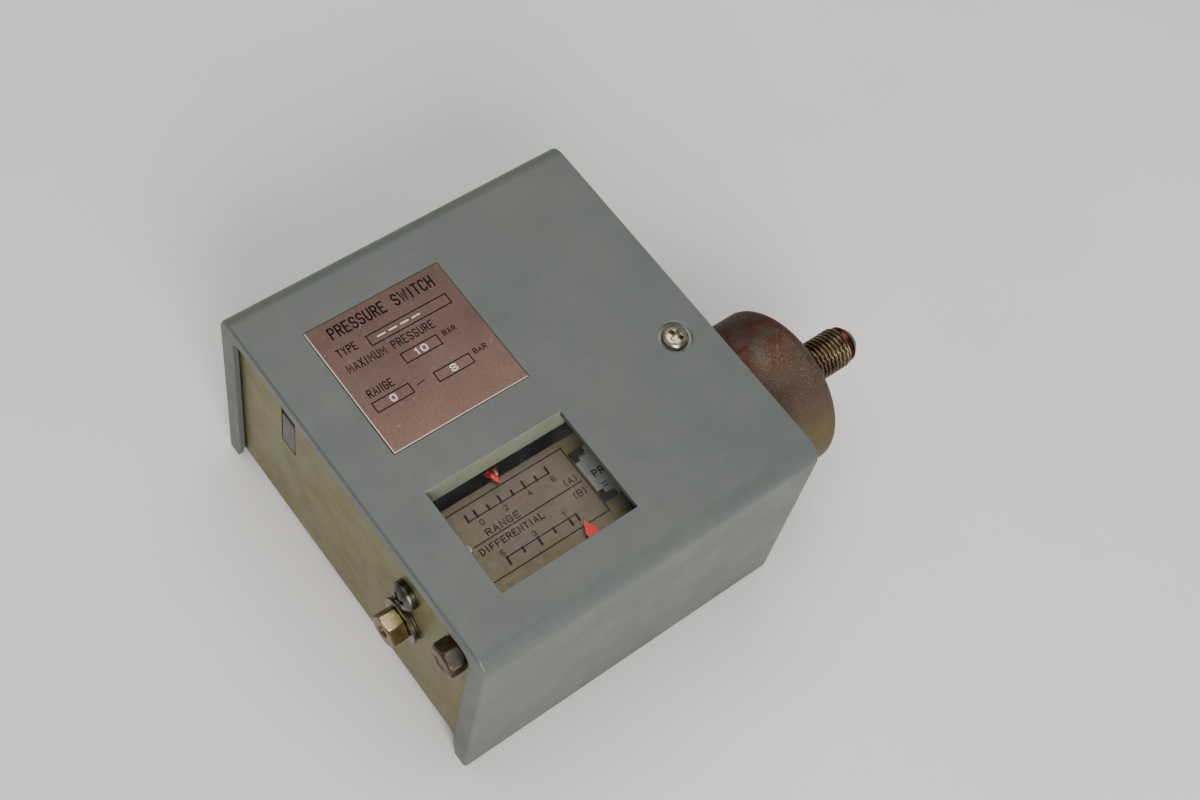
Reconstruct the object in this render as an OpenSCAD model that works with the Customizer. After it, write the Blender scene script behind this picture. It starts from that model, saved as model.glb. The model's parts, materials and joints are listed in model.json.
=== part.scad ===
// Bellows-type pressure switch with a lift-off cover.
// The origin lies on the mounting plane, under the middle of the cover.
// +Z points out of the front face, +X towards the pressure connection.

/* [Cover] */
// Length of the cover along the adjusting screws
cover_l = 97; // [96:0.5:98]
// Width of the cover
cover_w = 107; // [106:0.5:108]
// Height of the cover's front face above the mounting plane
cover_h = 63.5; // [63.5:0.5:66]
// Thickness of the cover's walls
cover_t = 1.8; // [1.5:0.1:2]
// Outer radius along the two long edges
cover_r = 5; // [4:0.5:6]
// Width of the lip down each side of the open end
lip_w = 5.6; // [4.5:0.1:6]
// Height of the lip under the front face
lip_h = 4.1; // [3:0.1:5]
// Thickness of the lip
lip_t = 1.6; // [1.2:0.1:1.6]

/* [Front face] */
// Length of the scale window
window_l = 38; // [34:0.5:40]
// Width of the scale window
window_w = 29.4; // [26:0.2:30]
// Position of the window's centre along the cover
window_x = -15.7; // [-17:0.1:-14]
// Position of the window's centre across the cover
window_y = -25.6; // [-26:0.1:-25]
// Side of the square nameplate
plate_side = 37.6; // [34:0.2:38]
// Position of the nameplate's centre along the cover
plate_x = -16.2; // [-18:0.1:-14]
// Position of the nameplate's centre across the cover
plate_y = 19.6; // [19:0.1:22]
// Position of the cover screw along the cover
cover_screw_x = 39; // [38:0.5:40]
// Position of the cover screw across the cover
cover_screw_y = -9.5; // [-11:0.5:-8]

/* [Frame] */
// Thickness of the frame's sheet metal
sheet_t = 1.6; // [1.4:0.1:1.6]
// Distance between the outer faces of the two end plates
frame_l = 93.2; // [93:0.1:93.2]
// Height of the back plate's underside above the mounting plane
frame_z = 1.5; // [1:0.1:2]
// Spacing of the mounting holes along the frame
hole_dx = 60; // [56:1:64]
// Spacing of the mounting holes across the frame
hole_dy = 80; // [76:1:84]
// Radius of each mounting hole
hole_r = 2.4; // [2.2:0.1:2.8]
// Radius of the cable hole in the end plate
cable_hole_r = 10; // [9:0.5:10]
// Radius of the cable bore in the grommet
cable_r = 6; // [4:0.5:7]

/* [Pressure side] */
// Position of the bellows axis across the frame
axis_y = -23; // [-23.5:0.5:-22.5]
// Height of the bellows axis above the mounting plane
axis_z = 31; // [30.5:0.5:31.5]
// Outer radius of the bellows cup
cup_r = 21.7; // [20:0.1:22]
// Distance that the cup stands out of the end plate
cup_l = 28; // [26:0.2:30]
// Wall thickness of the cup
cup_t = 1.5; // [1:0.1:1.6]
// Radius of the flare thread over its crests
thread_r = 5.556; // [5.5:0.001:5.6]
// Distance from the cup to the end of the flare thread
thread_l = 17; // [14:0.1:20]
// Radius of the bore through the fitting
port_r = 2.4; // [2:0.1:2.6]

/* [Adjustment] */
// Width across the flats of both adjusting screws
hex_af = 8; // [7:0.5:9]
// Length of each adjusting hexagon
hex_l = 4.5; // [4:0.1:5]
// Radius of the adjusting screws' shanks
screw_r = 3; // [2.5:0.1:3]
// Position of the differential screw across the frame
diff_y = -41.8; // [-42:0.1:-41.5]
// Height of the differential screw
diff_z = 49; // [48.5:0.1:49.5]
// Position of the range pointer's tip along the scale
range_x = -16.7; // [-20:0.1:-12]
// Position of the differential pointer's tip along the scale
diff_x = -6.2; // [-8:0.1:-5.5]

/* [Hidden] */
$fn = 64;

// Small overlap that lets a cut run past a face
cut = 1;
// Clearance between a turning screw and its hole
run = 0.08;
// Air gap between faces of parts that move past each other
gap = 0.3;

// Ends of the cover and the inner face of its front wall
cover_x0 = -cover_l / 2;
cover_x1 = cover_l / 2;
cover_in_z = cover_h - cover_t;
cover_z0 = 0.3;
// Inner corner of the lip, and the cut at each of its lower ends
lip_corner_r = 3.5;
lip_cut_w = 1.2;
lip_cut_z0 = 1.5;
lip_cut_z1 = 5;
// Pane, the ribs that hold it, and the recess of the nameplate
pane_edge = 1.1;
pane_t = 1.4;
rib_t = 1.2;
rib_h = 1.5;
deep_rib_h = 6.2;
plate_recess = 0.4;
plate_t = 0.35;
plate_gap = 0.15;
// Outer and inner faces of the two end plates, and the top edge of both
frame_x = frame_l / 2;
frame_in_x = frame_x - sheet_t;
frame_top = cover_in_z - 0.9;
frame_w = cover_w - 2 * cover_t - 1;
floor_z = frame_z + sheet_t;
bend_r = 2.5;
corner_cut = 5;
// Tongue of the cover in its slot of the end plate, hung from a strap inside the plate
tongue_y = 27.05;
tongue_w = 5.1;
tongue_z0 = 38;
tongue_z1 = 50.6;
strap_t = 1.4;
slot_w = tongue_w + 0.8;
slot_z0 = tongue_z0 - 0.6;
// Tab that takes the cover screw, and the screw itself
tab_w = 15;
tab_l = frame_x - cover_screw_x + 7.5;
screw_head_r = 3.35;
screw_head_h = 2.15;
screw_l = 9.5;
screw_seat_r = 4.4;
screw_seat_z = cover_h - 1.4;
boss_r = 6.5;
boss_z = frame_top + 0.2;
m4_r = 1.9;
m4_hole_r = m4_r + run;
// Embossed feet round the mounting holes
foot_r = 7;
foot_in_r = foot_r - sheet_t;
// Cable hole
cable_y = 30;
// Cup, fitting and bellows
cup_x0 = frame_x;
cup_x1 = frame_x + cup_l;
cup_end_r = 10;
cup_shoulder = 6;
shoulder_steps = 10;
flange_r = 26;
rivet_ring_r = 24;
rivet_r = 1.2;
collar_r = 7;
collar_l = 1.5;
nose_l = 3.4;
nose_r0 = 4.9;
nose_r1 = 3.3;
fitting_flange_r = 8;
throat_r = 11.5;
bellows_r = 15;
bellows_in_r = 11;
bellows_t = 0.4;
bellows_x0 = frame_x + 0.1;
bellows_x1 = bellows_x0 + 18.3;
bellows_waves = 9;
// Main lever, its pivot and the parts that push on it
lever_x0 = 35.5;
lever_t = 2;
lever_x1 = lever_x0 + lever_t;
lever_h = 13;
pivot_x = 39.5;
pivot_y = -47;
hub_r = 2.8;
pin_r = 1.5;
hub_z0 = 22;
hub_z1 = 53;
seat_r = 10;
seat_x1 = lever_x0 - gap;
seat_x0 = seat_x1 - 3.7;
rod_r = 2.5;
rod_collar_r = 4.5;
// Range adjuster
washer_r = 6.6;
washer_t = 1.7;
spring_r = 8;
spring_wire_r = 1.2;
nut_flange_x = range_x + 1.7;
nut_flange_t = 1.5;
nut_x1 = nut_flange_x + nut_flange_t;
screw_end_x = 2;
nut_r = 5.6;
nut_back = 2.8;
nut_flange_r = 10.3;
arm_y = -12.5;
arm_t = 1;
pointer_z = 55.4;
pointer_t = 0.6;
pointer_tip_l = 3.2;
// Differential adjuster
diff_nut_l = 5;
diff_nut_af = 9;
diff_nut_x1 = diff_x + 1.6;
diff_tip_y = -33.9;
diff_spring_r = 4.2;
diff_wire_r = 0.6;
// Scale on its bracket
scale_z = 54;
scale_t = 0.5;
scale_x0 = -44.8;
scale_x1 = 1.5;
scale_y0 = -38.6;
scale_y1 = -13.6;
shelf_t = 1;
shelf_x1 = 14;
leg_y = -34.5;
leg_w = 3.4;
flange_y0 = -33;
flange_z0 = 40.5;
flange_t = 1.2;
label_y0 = -32.4;
label_y1 = -17.7;
notch_l = 3.6;
notch_w = 2.2;
// Screw through the end plate that holds the scale bracket
bracket_screw_y = -23.2;
bracket_screw_z = 45.6;
bracket_head_r = 3.9;
bracket_head_h = 3;
// Switch: the plunger's axis, the case and its cavity
plunger_y = 6;
case_x0 = 4;
case_x1 = 32.6;
case_y0 = -3;
case_y1 = 15;
case_z0 = 22;
case_z1 = 40;
cavity_x0 = 11;
case_t = 2;
lid_t = 2;
ledge_x0 = -6;
strip_z = 37.2;
strip_t = 1;
strip_w = 2.8;
strip_x0 = -5.5;
strip_y = [1, 6, 11];
strip_x1 = [24.5, 25.8, 21.4];
plunger_r = 2;
plunger_tip_r = 0.9;
plunger_gap = 0.85;
blade_x = 24.1;
blade_t = 0.4;
blade_y0 = -0.6;
blade_y1 = 12.6;
switch_screw_y = [3.5, 8.5];
switch_screw_x = 7.5;
switch_screw_r = 1;
terminal_screw_x = -2;
// Earth screw on the back plate
earth_x = 8;
earth_y = 36;
// Pivot bracket, its lugs and where its rivets pass through the end plate
bracket_rivet_y = -46.5;
bracket_rivet_z = [11, 57.5];
lug_t = 1.6;
lug_z = [hub_z0 - 0.2 - lug_t, hub_z1 + 0.4];
// Rivets that hold the two printed plates
scale_rivet_x = [-32.6, 8];
scale_rivet_y = -25;
scale_rivet_r = 0.9;
// Rivets through the back plate: scale bracket, switch bracket and end plate
foot_rivet_x = shelf_x1 + 3.5;
switch_foot_x = [10, 26];
switch_foot_y = case_y1 + 4;
plate_foot_x = 38;
plate_rivet_x = 41.5;
plate_rivet_y = [-36, 0, 36];
floor_rivets = concat(
    [[foot_rivet_x, leg_y]],
    [for (x = switch_foot_x) [x, switch_foot_y]],
    [for (y = plate_rivet_y) [plate_rivet_x, y]]);

// A block given by its two opposite corners
module block(low, high) {
    translate(low)
        cube([high[0] - low[0], high[1] - low[1], high[2] - low[2]]);
}

// A round bar along X between two stations
module bar_x(x0, x1, r, y = axis_y, z = axis_z) {
    translate([x0, y, z])
        rotate([0, 90, 0])
            cylinder(h = x1 - x0, r = r);
}

// A hexagonal bar along X; turn 30 puts a flat on top, turn 0 a corner
module hex_x(x0, x1, af, y, z, turn) {
    translate([x0, y, z])
        rotate([turn, 0, 0])
            rotate([0, 90, 0])
                cylinder(h = x1 - x0, r = af / sqrt(3), $fn = 6);
}

// Places a profile turned about the bellows axis
module on_axis(x, y = axis_y, z = axis_z) {
    translate([x, y, z])
        rotate([0, 90, 0])
            children();
}

// Outline of the cover across its width, drawn upright
module cover_outline(width, top, r, bottom) {
    translate([-width / 2, bottom])
        square([width, top - bottom - r]);
    translate([-width / 2 + r, bottom])
        square([width - 2 * r, top - bottom]);
    for (side = [-1, 1])
        translate([side * (width / 2 - r), top - r])
            circle(r);
}

// Extrudes an upright outline along X
module along_x(x0, x1) {
    translate([x0, 0, 0])
        rotate([90, 0, 90])
            linear_extrude(x1 - x0)
                children();
}

// Opening inside the lip, with cut corners at its two lower ends
module lip_opening() {
    half = cover_w / 2 - lip_w;
    wide = half + lip_cut_w;
    cover_outline(2 * half, cover_h - lip_h, lip_corner_r, -cut);
    polygon([[-wide, -cut], [wide, -cut], [wide, lip_cut_z0],
        [half, lip_cut_z1], [-half, lip_cut_z1], [-wide, lip_cut_z0]]);
}

// A pan head that stands on z = 0, with its shank below and a crossed recess
module pan_screw(head_r, head_h, shank_r, shank_l) {
    difference() {
        union() {
            cylinder(h = head_h * 0.55, r = head_r);
            translate([0, 0, head_h * 0.55])
                cylinder(h = head_h * 0.45, r1 = head_r, r2 = head_r * 0.72);
            translate([0, 0, -shank_l])
                cylinder(h = shank_l, r = shank_r);
        }
        for (turn = [0, 90])
            rotate([0, 0, turn])
                translate([-head_r * 0.55, -head_r * 0.12, head_h * 0.45])
                    cube([head_r * 1.1, head_r * 0.24, head_h]);
    }
}

// A rivet along X with a round head on each side of the sheets it joins
module rivet_x(x0, x1, y, z) {
    bar_x(x0, x1, rivet_r, y, z);
    bar_x(x1, x1 + 1, rivet_r * 1.6, y, z);
    bar_x(x0 - 0.8, x0, rivet_r * 1.5, y, z);
}

// Point of a coil spring's wire surface, with the spring's axis along X
function coil_point(a, b, mean_r, wire_r, x0, pitch) = [
    x0 + pitch * a / 360 + wire_r * sin(b),
    (mean_r + wire_r * cos(b)) * cos(a),
    (mean_r + wire_r * cos(b)) * sin(a)];

// A coil spring along X whose wire has six sides
module coil_spring(mean_r, wire_r, x0, x1, turns, steps) {
    sides = 6;
    rings = turns * steps;
    pitch = (x1 - x0 - 2 * wire_r) / turns;
    points = [for (i = [0 : rings]) for (j = [0 : sides - 1])
        coil_point(360 * i / steps, 360 * j / sides, mean_r, wire_r, x0 + wire_r, pitch)];
    walls = [for (i = [0 : rings - 1]) for (j = [0 : sides - 1])
        [i * sides + j, i * sides + (j + 1) % sides,
            (i + 1) * sides + (j + 1) % sides, (i + 1) * sides + j]];
    first = [for (j = [sides - 1 : -1 : 0]) j];
    last = [for (j = [0 : sides - 1]) rings * sides + j];
    polyhedron(points = points, faces = concat(walls, [first, last]), convexity = 10);
}

// A ring that clips into a groove of a shank
module clip_ring(x, y, z) {
    on_axis(x, y, z)
        difference() {
            cylinder(h = 0.8, r = screw_r + 2);
            translate([0, 0, -cut])
                cylinder(h = 3, r = screw_r - 0.4);
            translate([-1.6, 0, -cut])
                cube([3.2, screw_r + 3, 3]);
        }
}

// Folded sheet frame: the back plate and the end plate with the adjusting screws
module chassis() {
    color("darkkhaki")
    difference() {
        union() {
            translate([0, frame_w / 2, 0])
                rotate([90, 0, 0])
                    linear_extrude(frame_w)
                        frame_profile();
            each_mounting_hole()
                cylinder(h = floor_z, r = foot_r);
        }
        corner_cuts();
        each_mounting_hole() {
            translate([0, 0, sheet_t])
                cylinder(h = floor_z, r = foot_in_r);
            translate([0, 0, -cut])
                cylinder(h = floor_z, r = hole_r);
        }
        block([-frame_x - cut, tongue_y - slot_w / 2, slot_z0],
            [-frame_in_x + cut, tongue_y + slot_w / 2, frame_top + cut]);
        bar_x(-frame_x - cut, -frame_in_x + cut, screw_r + run);
        bar_x(-frame_x - cut, -frame_in_x + cut, screw_r + run, diff_y, diff_z);
        bar_x(-frame_x - cut, -frame_in_x + cut, m4_r + 0.2, bracket_screw_y, bracket_screw_z);
        translate([earth_x, earth_y, -cut])
            cylinder(h = 6, r = m4_r);
        for (place = floor_rivets)
            translate([place[0], place[1], -cut])
                cylinder(h = 6, r = rivet_r);
    }
}

// Section of the frame along its length
module frame_profile() {
    difference() {
        union() {
            translate([-frame_x, frame_z + bend_r])
                square([sheet_t, frame_top - frame_z - bend_r]);
            translate([-frame_x + bend_r, frame_z])
                square([frame_l - bend_r - sheet_t - 0.05, sheet_t]);
            translate([-frame_x + bend_r, frame_z + bend_r])
                intersection() {
                    circle(bend_r);
                    translate([-bend_r, -bend_r])
                        square(bend_r);
                }
        }
        translate([-frame_x + bend_r, frame_z + bend_r])
            circle(bend_r - sheet_t);
    }
}

// Cuts off the top corners of the end plates, clear of the cover's rounded edges
module corner_cuts() {
    for (side = [-1, 1])
        along_x(-frame_x - cut, frame_x + cut)
            translate([side * frame_w / 2, frame_top])
                rotate([0, 0, 45])
                    square(corner_cut, center = true);
}

// End plate on the pressure side, with a foot and the tab for the cover screw
module end_plate() {
    color("darkkhaki")
    difference() {
        union() {
            block([frame_in_x, -frame_w / 2, frame_z], [frame_x, frame_w / 2, frame_top]);
            block([plate_foot_x, -frame_w / 2 + 2, floor_z],
                [frame_in_x, frame_w / 2 - 2, floor_z + sheet_t]);
            block([frame_x - tab_l, cover_screw_y - tab_w / 2, frame_top - sheet_t],
                [frame_x, cover_screw_y + tab_w / 2, frame_top]);
        }
        corner_cuts();
        bar_x(frame_in_x - cut, frame_x + cut, throat_r);
        bar_x(frame_in_x - cut, frame_x + cut, cable_hole_r, cable_y);
        for (turn = [45 : 90 : 315])
            bar_x(frame_in_x - cut, frame_x + cut, rivet_r,
                axis_y + rivet_ring_r * cos(turn), axis_z + rivet_ring_r * sin(turn));
        for (z = bracket_rivet_z)
            bar_x(frame_in_x - cut, frame_x + cut, rivet_r, bracket_rivet_y, z);
        translate([cover_screw_x, cover_screw_y, frame_top - 3])
            cylinder(h = 5, r = m4_hole_r);
        for (y = plate_rivet_y)
            translate([plate_rivet_x, y, 0])
                cylinder(h = 8, r = rivet_r);
    }
}

// Rivets through the end plate's foot and the back plate
module plate_rivets() {
    color("silver")
    for (y = plate_rivet_y)
        floor_rivet(plate_rivet_x, y, floor_z + sheet_t);
}

// A rivet through the back plate and what lies on it, up to a height
module floor_rivet(x, y, top) {
    translate([x, y, 0]) {
        translate([0, 0, frame_z - 0.6])
            cylinder(h = top - frame_z + 1.4, r = rivet_r);
        translate([0, 0, top])
            cylinder(h = 0.8, r = rivet_r + 0.7);
        translate([0, 0, frame_z - 0.6])
            cylinder(h = 0.6, r = rivet_r + 0.8);
    }
}

// Repeats its children at the four mounting holes
module each_mounting_hole() {
    for (sx = [-1, 1])
        for (sy = [-1, 1])
            translate([sx * hole_dx / 2, sy * hole_dy / 2, 0])
                children();
}

// One-piece cover, open at the back, with a lip round the open left end
module cover() {
    color("slategray")
    difference() {
        union() {
            difference() {
                along_x(cover_x0, cover_x1)
                    cover_outline(cover_w, cover_h, cover_r, cover_z0);
                along_x(cover_x0 + lip_t, cover_x1 + cut)
                    cover_outline(cover_w - 2 * cover_t, cover_in_z, cover_r - cover_t, -cut);
                along_x(cover_x0 - cut, cover_x0 + lip_t + cut)
                    lip_opening();
            }
            block([-frame_x, tongue_y - tongue_w / 2, tongue_z0],
                [-frame_in_x + gap + strap_t, tongue_y + tongue_w / 2, tongue_z1]);
            block([-frame_in_x + gap, tongue_y - tongue_w / 2, tongue_z0],
                [-frame_in_x + gap + strap_t, tongue_y + tongue_w / 2, cover_in_z]);
            translate([cover_screw_x, cover_screw_y, boss_z])
                cylinder(h = cover_in_z - boss_z, r = boss_r);
            window_ribs();
        }
        block([window_x - window_l / 2, window_y - window_w / 2, cover_in_z - cut],
            [window_x + window_l / 2, window_y + window_w / 2, cover_h + cut]);
        translate([plate_x, plate_y, cover_h - plate_recess])
            linear_extrude(plate_recess + cut)
                square(plate_side + 2 * plate_gap, center = true);
        translate([cover_screw_x, cover_screw_y, screw_seat_z])
            cylinder(h = 5, r = screw_seat_r);
        translate([cover_screw_x, cover_screw_y, boss_z - cut])
            cylinder(h = 5, r = m4_r + 0.4);
    }
}

// Ribs under the front wall that hold the pane, one of them deep
module window_ribs() {
    x0 = window_x - window_l / 2 - pane_edge - 0.1;
    x1 = window_x + window_l / 2 + pane_edge + 0.1;
    y0 = window_y - window_w / 2 - pane_edge - 0.1;
    y1 = window_y + window_w / 2;
    rib_z = cover_in_z - rib_h;
    block([x0 - rib_t, y1, cover_in_z - deep_rib_h], [x1 + rib_t, y1 + rib_t, cover_in_z]);
    block([x0 - rib_t, y0 - rib_t, rib_z], [x1 + rib_t, y0, cover_in_z]);
    block([x0 - rib_t, y0, rib_z], [x0, y1, cover_in_z]);
    block([x1, y0, rib_z], [x1 + rib_t, y1, cover_in_z]);
}

// Clear pane behind the window
module window_pane() {
    color([0.8, 0.85, 0.85, 0.4])
    block([window_x - window_l / 2 - pane_edge, window_y - window_w / 2 - pane_edge, cover_in_z - pane_t],
        [window_x + window_l / 2 + pane_edge, window_y + window_w / 2 - 0.1, cover_in_z]);
}

// Thin metal plate in a shallow recess of the front face
module nameplate() {
    color("rosybrown")
    translate([plate_x, plate_y, cover_h - plate_recess])
        linear_extrude(plate_t)
            square(plate_side, center = true);
}

// Screw that holds the cover down on the frame's tab
module cover_screw() {
    color("silver")
    translate([cover_screw_x, cover_screw_y, screw_seat_z + 0.05])
        pan_screw(screw_head_r, screw_head_h, m4_r, screw_l);
}

// Profile of the cup, radius across and length up, with an oval shoulder
module cup_profile(r, length, shoulder) {
    oval = [for (i = [0 : shoulder_steps]) shoulder_point(r, length, shoulder, 90 * i / shoulder_steps)];
    polygon(concat([[0, 0], [r, 0]], oval, [[0, length]]));
}

// Point on the shoulder, at an angle from the cup's side towards its end
function shoulder_point(r, length, shoulder, a) = [
    cup_end_r + (r - cup_end_r) * cos(a),
    length - shoulder + shoulder * sin(a)];

// Deep-drawn cup with a flat flange, riveted to the end plate
module bellows_cup() {
    color("rosybrown")
    difference() {
        on_axis(cup_x0)
            rotate_extrude() {
                difference() {
                    cup_profile(cup_r, cup_l, cup_shoulder);
                    translate([0, -cut])
                        cup_profile(cup_r - cup_t, cup_l - cup_t + cut, cup_shoulder - 0.4);
                    translate([-cut, 0])
                        square([thread_r + cut, cup_l + cut]);
                }
                translate([cup_r - cup_t / 2, 0])
                    square([flange_r - cup_r + cup_t / 2, cup_t]);
            }
        for (turn = [45 : 90 : 315])
            bar_x(cup_x0 - cut, cup_x0 + cup_t + cut, rivet_r,
                axis_y + rivet_ring_r * cos(turn), axis_z + rivet_ring_r * sin(turn));
    }
}

// Flare fitting brazed through the end of the cup
module flare_fitting() {
    inner_x = cup_x1 - cup_t - 1.5;
    thread_x1 = cup_x1 + thread_l;
    color("peru")
    difference() {
        union() {
            bar_x(inner_x, inner_x + 1.5, fitting_flange_r);
            bar_x(inner_x, thread_x1, thread_r);
            bar_x(cup_x1, cup_x1 + collar_l, collar_r);
            on_axis(thread_x1)
                cylinder(h = nose_l * 0.35, r = nose_r0);
            on_axis(thread_x1 + nose_l * 0.35)
                cylinder(h = nose_l * 0.65, r1 = nose_r0, r2 = nose_r1);
        }
        bar_x(inner_x - cut, thread_x1 + nose_l + cut, port_r);
    }
}

// Corrugated metal bellows inside the cup
module bellows() {
    wave = (bellows_x1 - bellows_x0) / bellows_waves;
    steps = 2 * bellows_waves;
    crest = bellows_r - bellows_t;
    outer = [for (i = [0 : steps]) [i % 2 == 0 ? bellows_in_r + bellows_t : bellows_r, i * wave / 2]];
    inner = [for (i = [steps : -1 : 0]) [i % 2 == 0 ? bellows_in_r : crest, i * wave / 2]];
    color("goldenrod")
    on_axis(bellows_x0)
        rotate_extrude()
            polygon(concat(outer, inner));
}

// Solid end of the bellows that carries the push rod
module bellows_cap() {
    color("goldenrod")
    difference() {
        bar_x(bellows_x1 + 0.05, bellows_x1 + 2.5, bellows_r - 0.6);
        bar_x(bellows_x1 - cut, bellows_x1 + 1.3, rod_r);
    }
}

// Rod from the bellows to the spring seat, with the collar that moves the lever
module push_rod() {
    color("silver")
    union() {
        bar_x(seat_x0, bellows_x1 + 1.3, rod_r);
        bar_x(lever_x1 + gap, lever_x1 + gap + 2, rod_collar_r);
    }
}

// Disc at the rod's end that takes the range spring
module spring_seat() {
    color("darkkhaki")
    difference() {
        union() {
            bar_x(seat_x0, seat_x0 + 1.4, seat_r);
            bar_x(seat_x0, seat_x1, rod_collar_r);
        }
        bar_x(seat_x0 - cut, seat_x1 + cut, rod_r);
    }
}

// Four rivets through the cup's flange
module cup_rivets() {
    color("silver")
    for (turn = [45 : 90 : 315])
        rivet_x(frame_in_x, cup_x0 + cup_t, axis_y + rivet_ring_r * cos(turn),
            axis_z + rivet_ring_r * sin(turn));
}

// Lever that carries the bellows movement to the switch
module main_lever() {
    color("darkkhaki")
    difference() {
        union() {
            block([lever_x0, pivot_y, axis_z - lever_h / 2],
                [lever_x1, plunger_y + 4, axis_z + lever_h / 2]);
            block([lever_x0, pivot_y, axis_z], [lever_x1, diff_y + 4, hub_z1]);
            translate([pivot_x, pivot_y, hub_z0])
                cylinder(h = hub_z1 - hub_z0, r = hub_r);
            block([lever_x0, pivot_y - hub_r, hub_z0 + 2.5],
                [pivot_x, pivot_y + 1, hub_z1]);
        }
        translate([pivot_x, pivot_y, hub_z0 - cut])
            cylinder(h = hub_z1 - hub_z0 + 2 * cut, r = pin_r + 0.05);
        bar_x(lever_x0 - cut, lever_x1 + cut, rod_r + 0.6);
        bar_x(lever_x0 - cut, lever_x1 + cut, 1.2, diff_y, diff_z);
    }
}

// Bracket with two lugs that hold the pivot pin
module pivot_bracket() {
    color("darkkhaki")
    difference() {
        union() {
            block([frame_in_x - sheet_t, pivot_y - 4, 7], [frame_in_x, pivot_y + 4.7, 60]);
            for (z = lug_z)
                block([pivot_x - 4, pivot_y - 4, z], [frame_in_x, pivot_y + 4, z + lug_t]);
        }
        translate([pivot_x, pivot_y, 0])
            cylinder(h = cover_h, r = pin_r);
        for (z = bracket_rivet_z)
            bar_x(frame_in_x - 3, frame_in_x + cut, rivet_r, bracket_rivet_y, z);
    }
}

// Pin that the lever turns on
module pivot_pin() {
    color("silver")
    union() {
        translate([pivot_x, pivot_y, lug_z[0] - 1])
            cylinder(h = lug_z[1] + lug_t - lug_z[0] + 2, r = pin_r);
        translate([pivot_x, pivot_y, lug_z[1] + lug_t])
            cylinder(h = 1.2, r = pin_r + 0.9);
    }
}

// Two rivets that hold the pivot bracket
module bracket_rivets() {
    color("silver")
    for (z = bracket_rivet_z)
        rivet_x(frame_in_x - sheet_t, frame_x, bracket_rivet_y, z);
}

// Adjusting screw: a hexagon outside the end plate and a threaded shank inside
module adjusting_screw(y, z, stand_off, turn, end_x) {
    base_x = -frame_x - stand_off;
    difference() {
        union() {
            hex_x(base_x - hex_l, base_x, hex_af, y, z, turn);
            bar_x(base_x - 0.5, end_x, screw_r, y, z);
        }
        on_axis(-frame_in_x + 0.3, y, z)
            difference() {
                cylinder(h = 0.9, r = screw_r + cut);
                translate([0, 0, -cut])
                    cylinder(h = 3, r = screw_r - 0.4);
            }
    }
}

// Screw that sets the cut-out pressure
module range_screw() {
    color("goldenrod")
    difference() {
        adjusting_screw(axis_y, axis_z, washer_t + 0.3, 30, screw_end_x);
        bar_x(-frame_x - washer_t - 6, -frame_x - washer_t - hex_l + 1.2, 1.6);
    }
}

// Wide washer under the range hexagon
module range_washer() {
    color("silver")
    difference() {
        bar_x(-frame_x - washer_t - 0.1, -frame_x - 0.1, washer_r);
        bar_x(-frame_x - washer_t - cut, -frame_x + cut, screw_r + run);
    }
}

// Clip that keeps the range screw in the end plate
module range_clip() {
    color("dimgray")
    clip_ring(-frame_in_x + 0.35, axis_y, axis_z);
}

// Nut that travels along the range screw and presses the spring
module range_nut() {
    color("silver")
    difference() {
        union() {
            bar_x(range_x - nut_back, nut_x1, nut_r);
            bar_x(nut_flange_x, nut_x1, nut_flange_r);
        }
        bar_x(range_x - 4, nut_x1 + cut, screw_r + run);
    }
}

// Bent arm on the range nut whose tip points at the scale
module range_pointer() {
    color("orangered")
    union() {
        difference() {
            block([range_x - 1.8, axis_y + 2, axis_z - 3], [range_x - 0.8, arm_y + arm_t, axis_z + 3]);
            bar_x(range_x - 4, range_x + 4, nut_r);
        }
        block([range_x - 1.8, arm_y, axis_z - 3], [range_x + 1.5, arm_y + arm_t, pointer_z + pointer_t]);
        translate([0, 0, pointer_z])
            linear_extrude(pointer_t)
                polygon([[range_x, arm_y - pointer_tip_l], [range_x + 2, arm_y + arm_t],
                    [range_x - 2, arm_y + arm_t]]);
    }
}

// Main spring between the range nut and the spring seat
module range_spring() {
    color("silver")
    translate([0, axis_y, axis_z])
        coil_spring(spring_r, spring_wire_r, nut_x1 + 0.05, seat_x0 - 0.05, 8, 16);
}

// Screw that sets the differential
module differential_screw() {
    color("saddlebrown")
    adjusting_screw(diff_y, diff_z, 0.2, 0, diff_nut_x1);
}

// Clip that keeps the differential screw in the end plate
module differential_clip() {
    color("dimgray")
    clip_ring(-frame_in_x + 0.35, diff_y, diff_z);
}

// Nut that travels along the differential screw
module differential_nut() {
    color("silver")
    difference() {
        hex_x(diff_nut_x1 - diff_nut_l, diff_nut_x1, diff_nut_af, diff_y, diff_z, 30);
        bar_x(diff_nut_x1 - diff_nut_l - cut, diff_nut_x1 + cut, screw_r + run, diff_y, diff_z);
    }
}

// Arm on the differential nut whose tip points at the scale
module differential_pointer() {
    root_y = diff_tip_y - pointer_tip_l;
    color("orangered")
    union() {
        block([diff_x - 1.5, diff_y - 2, diff_z + diff_nut_af / 2], [diff_x + 1.5, diff_y + 2, pointer_z]);
        block([diff_x - 1.5, diff_y - 2, pointer_z], [diff_x + 1.5, root_y, pointer_z + pointer_t]);
        translate([0, 0, pointer_z])
            linear_extrude(pointer_t)
                polygon([[diff_x, diff_tip_y], [diff_x + 1.6, root_y], [diff_x - 1.6, root_y]]);
    }
}

// Light spring between the differential nut and the lever
module differential_spring() {
    color("silver")
    translate([0, diff_y, diff_z])
        coil_spring(diff_spring_r, diff_wire_r, diff_nut_x1 + 0.05, lever_x0 - 0.05, 14, 12);
}

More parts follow.
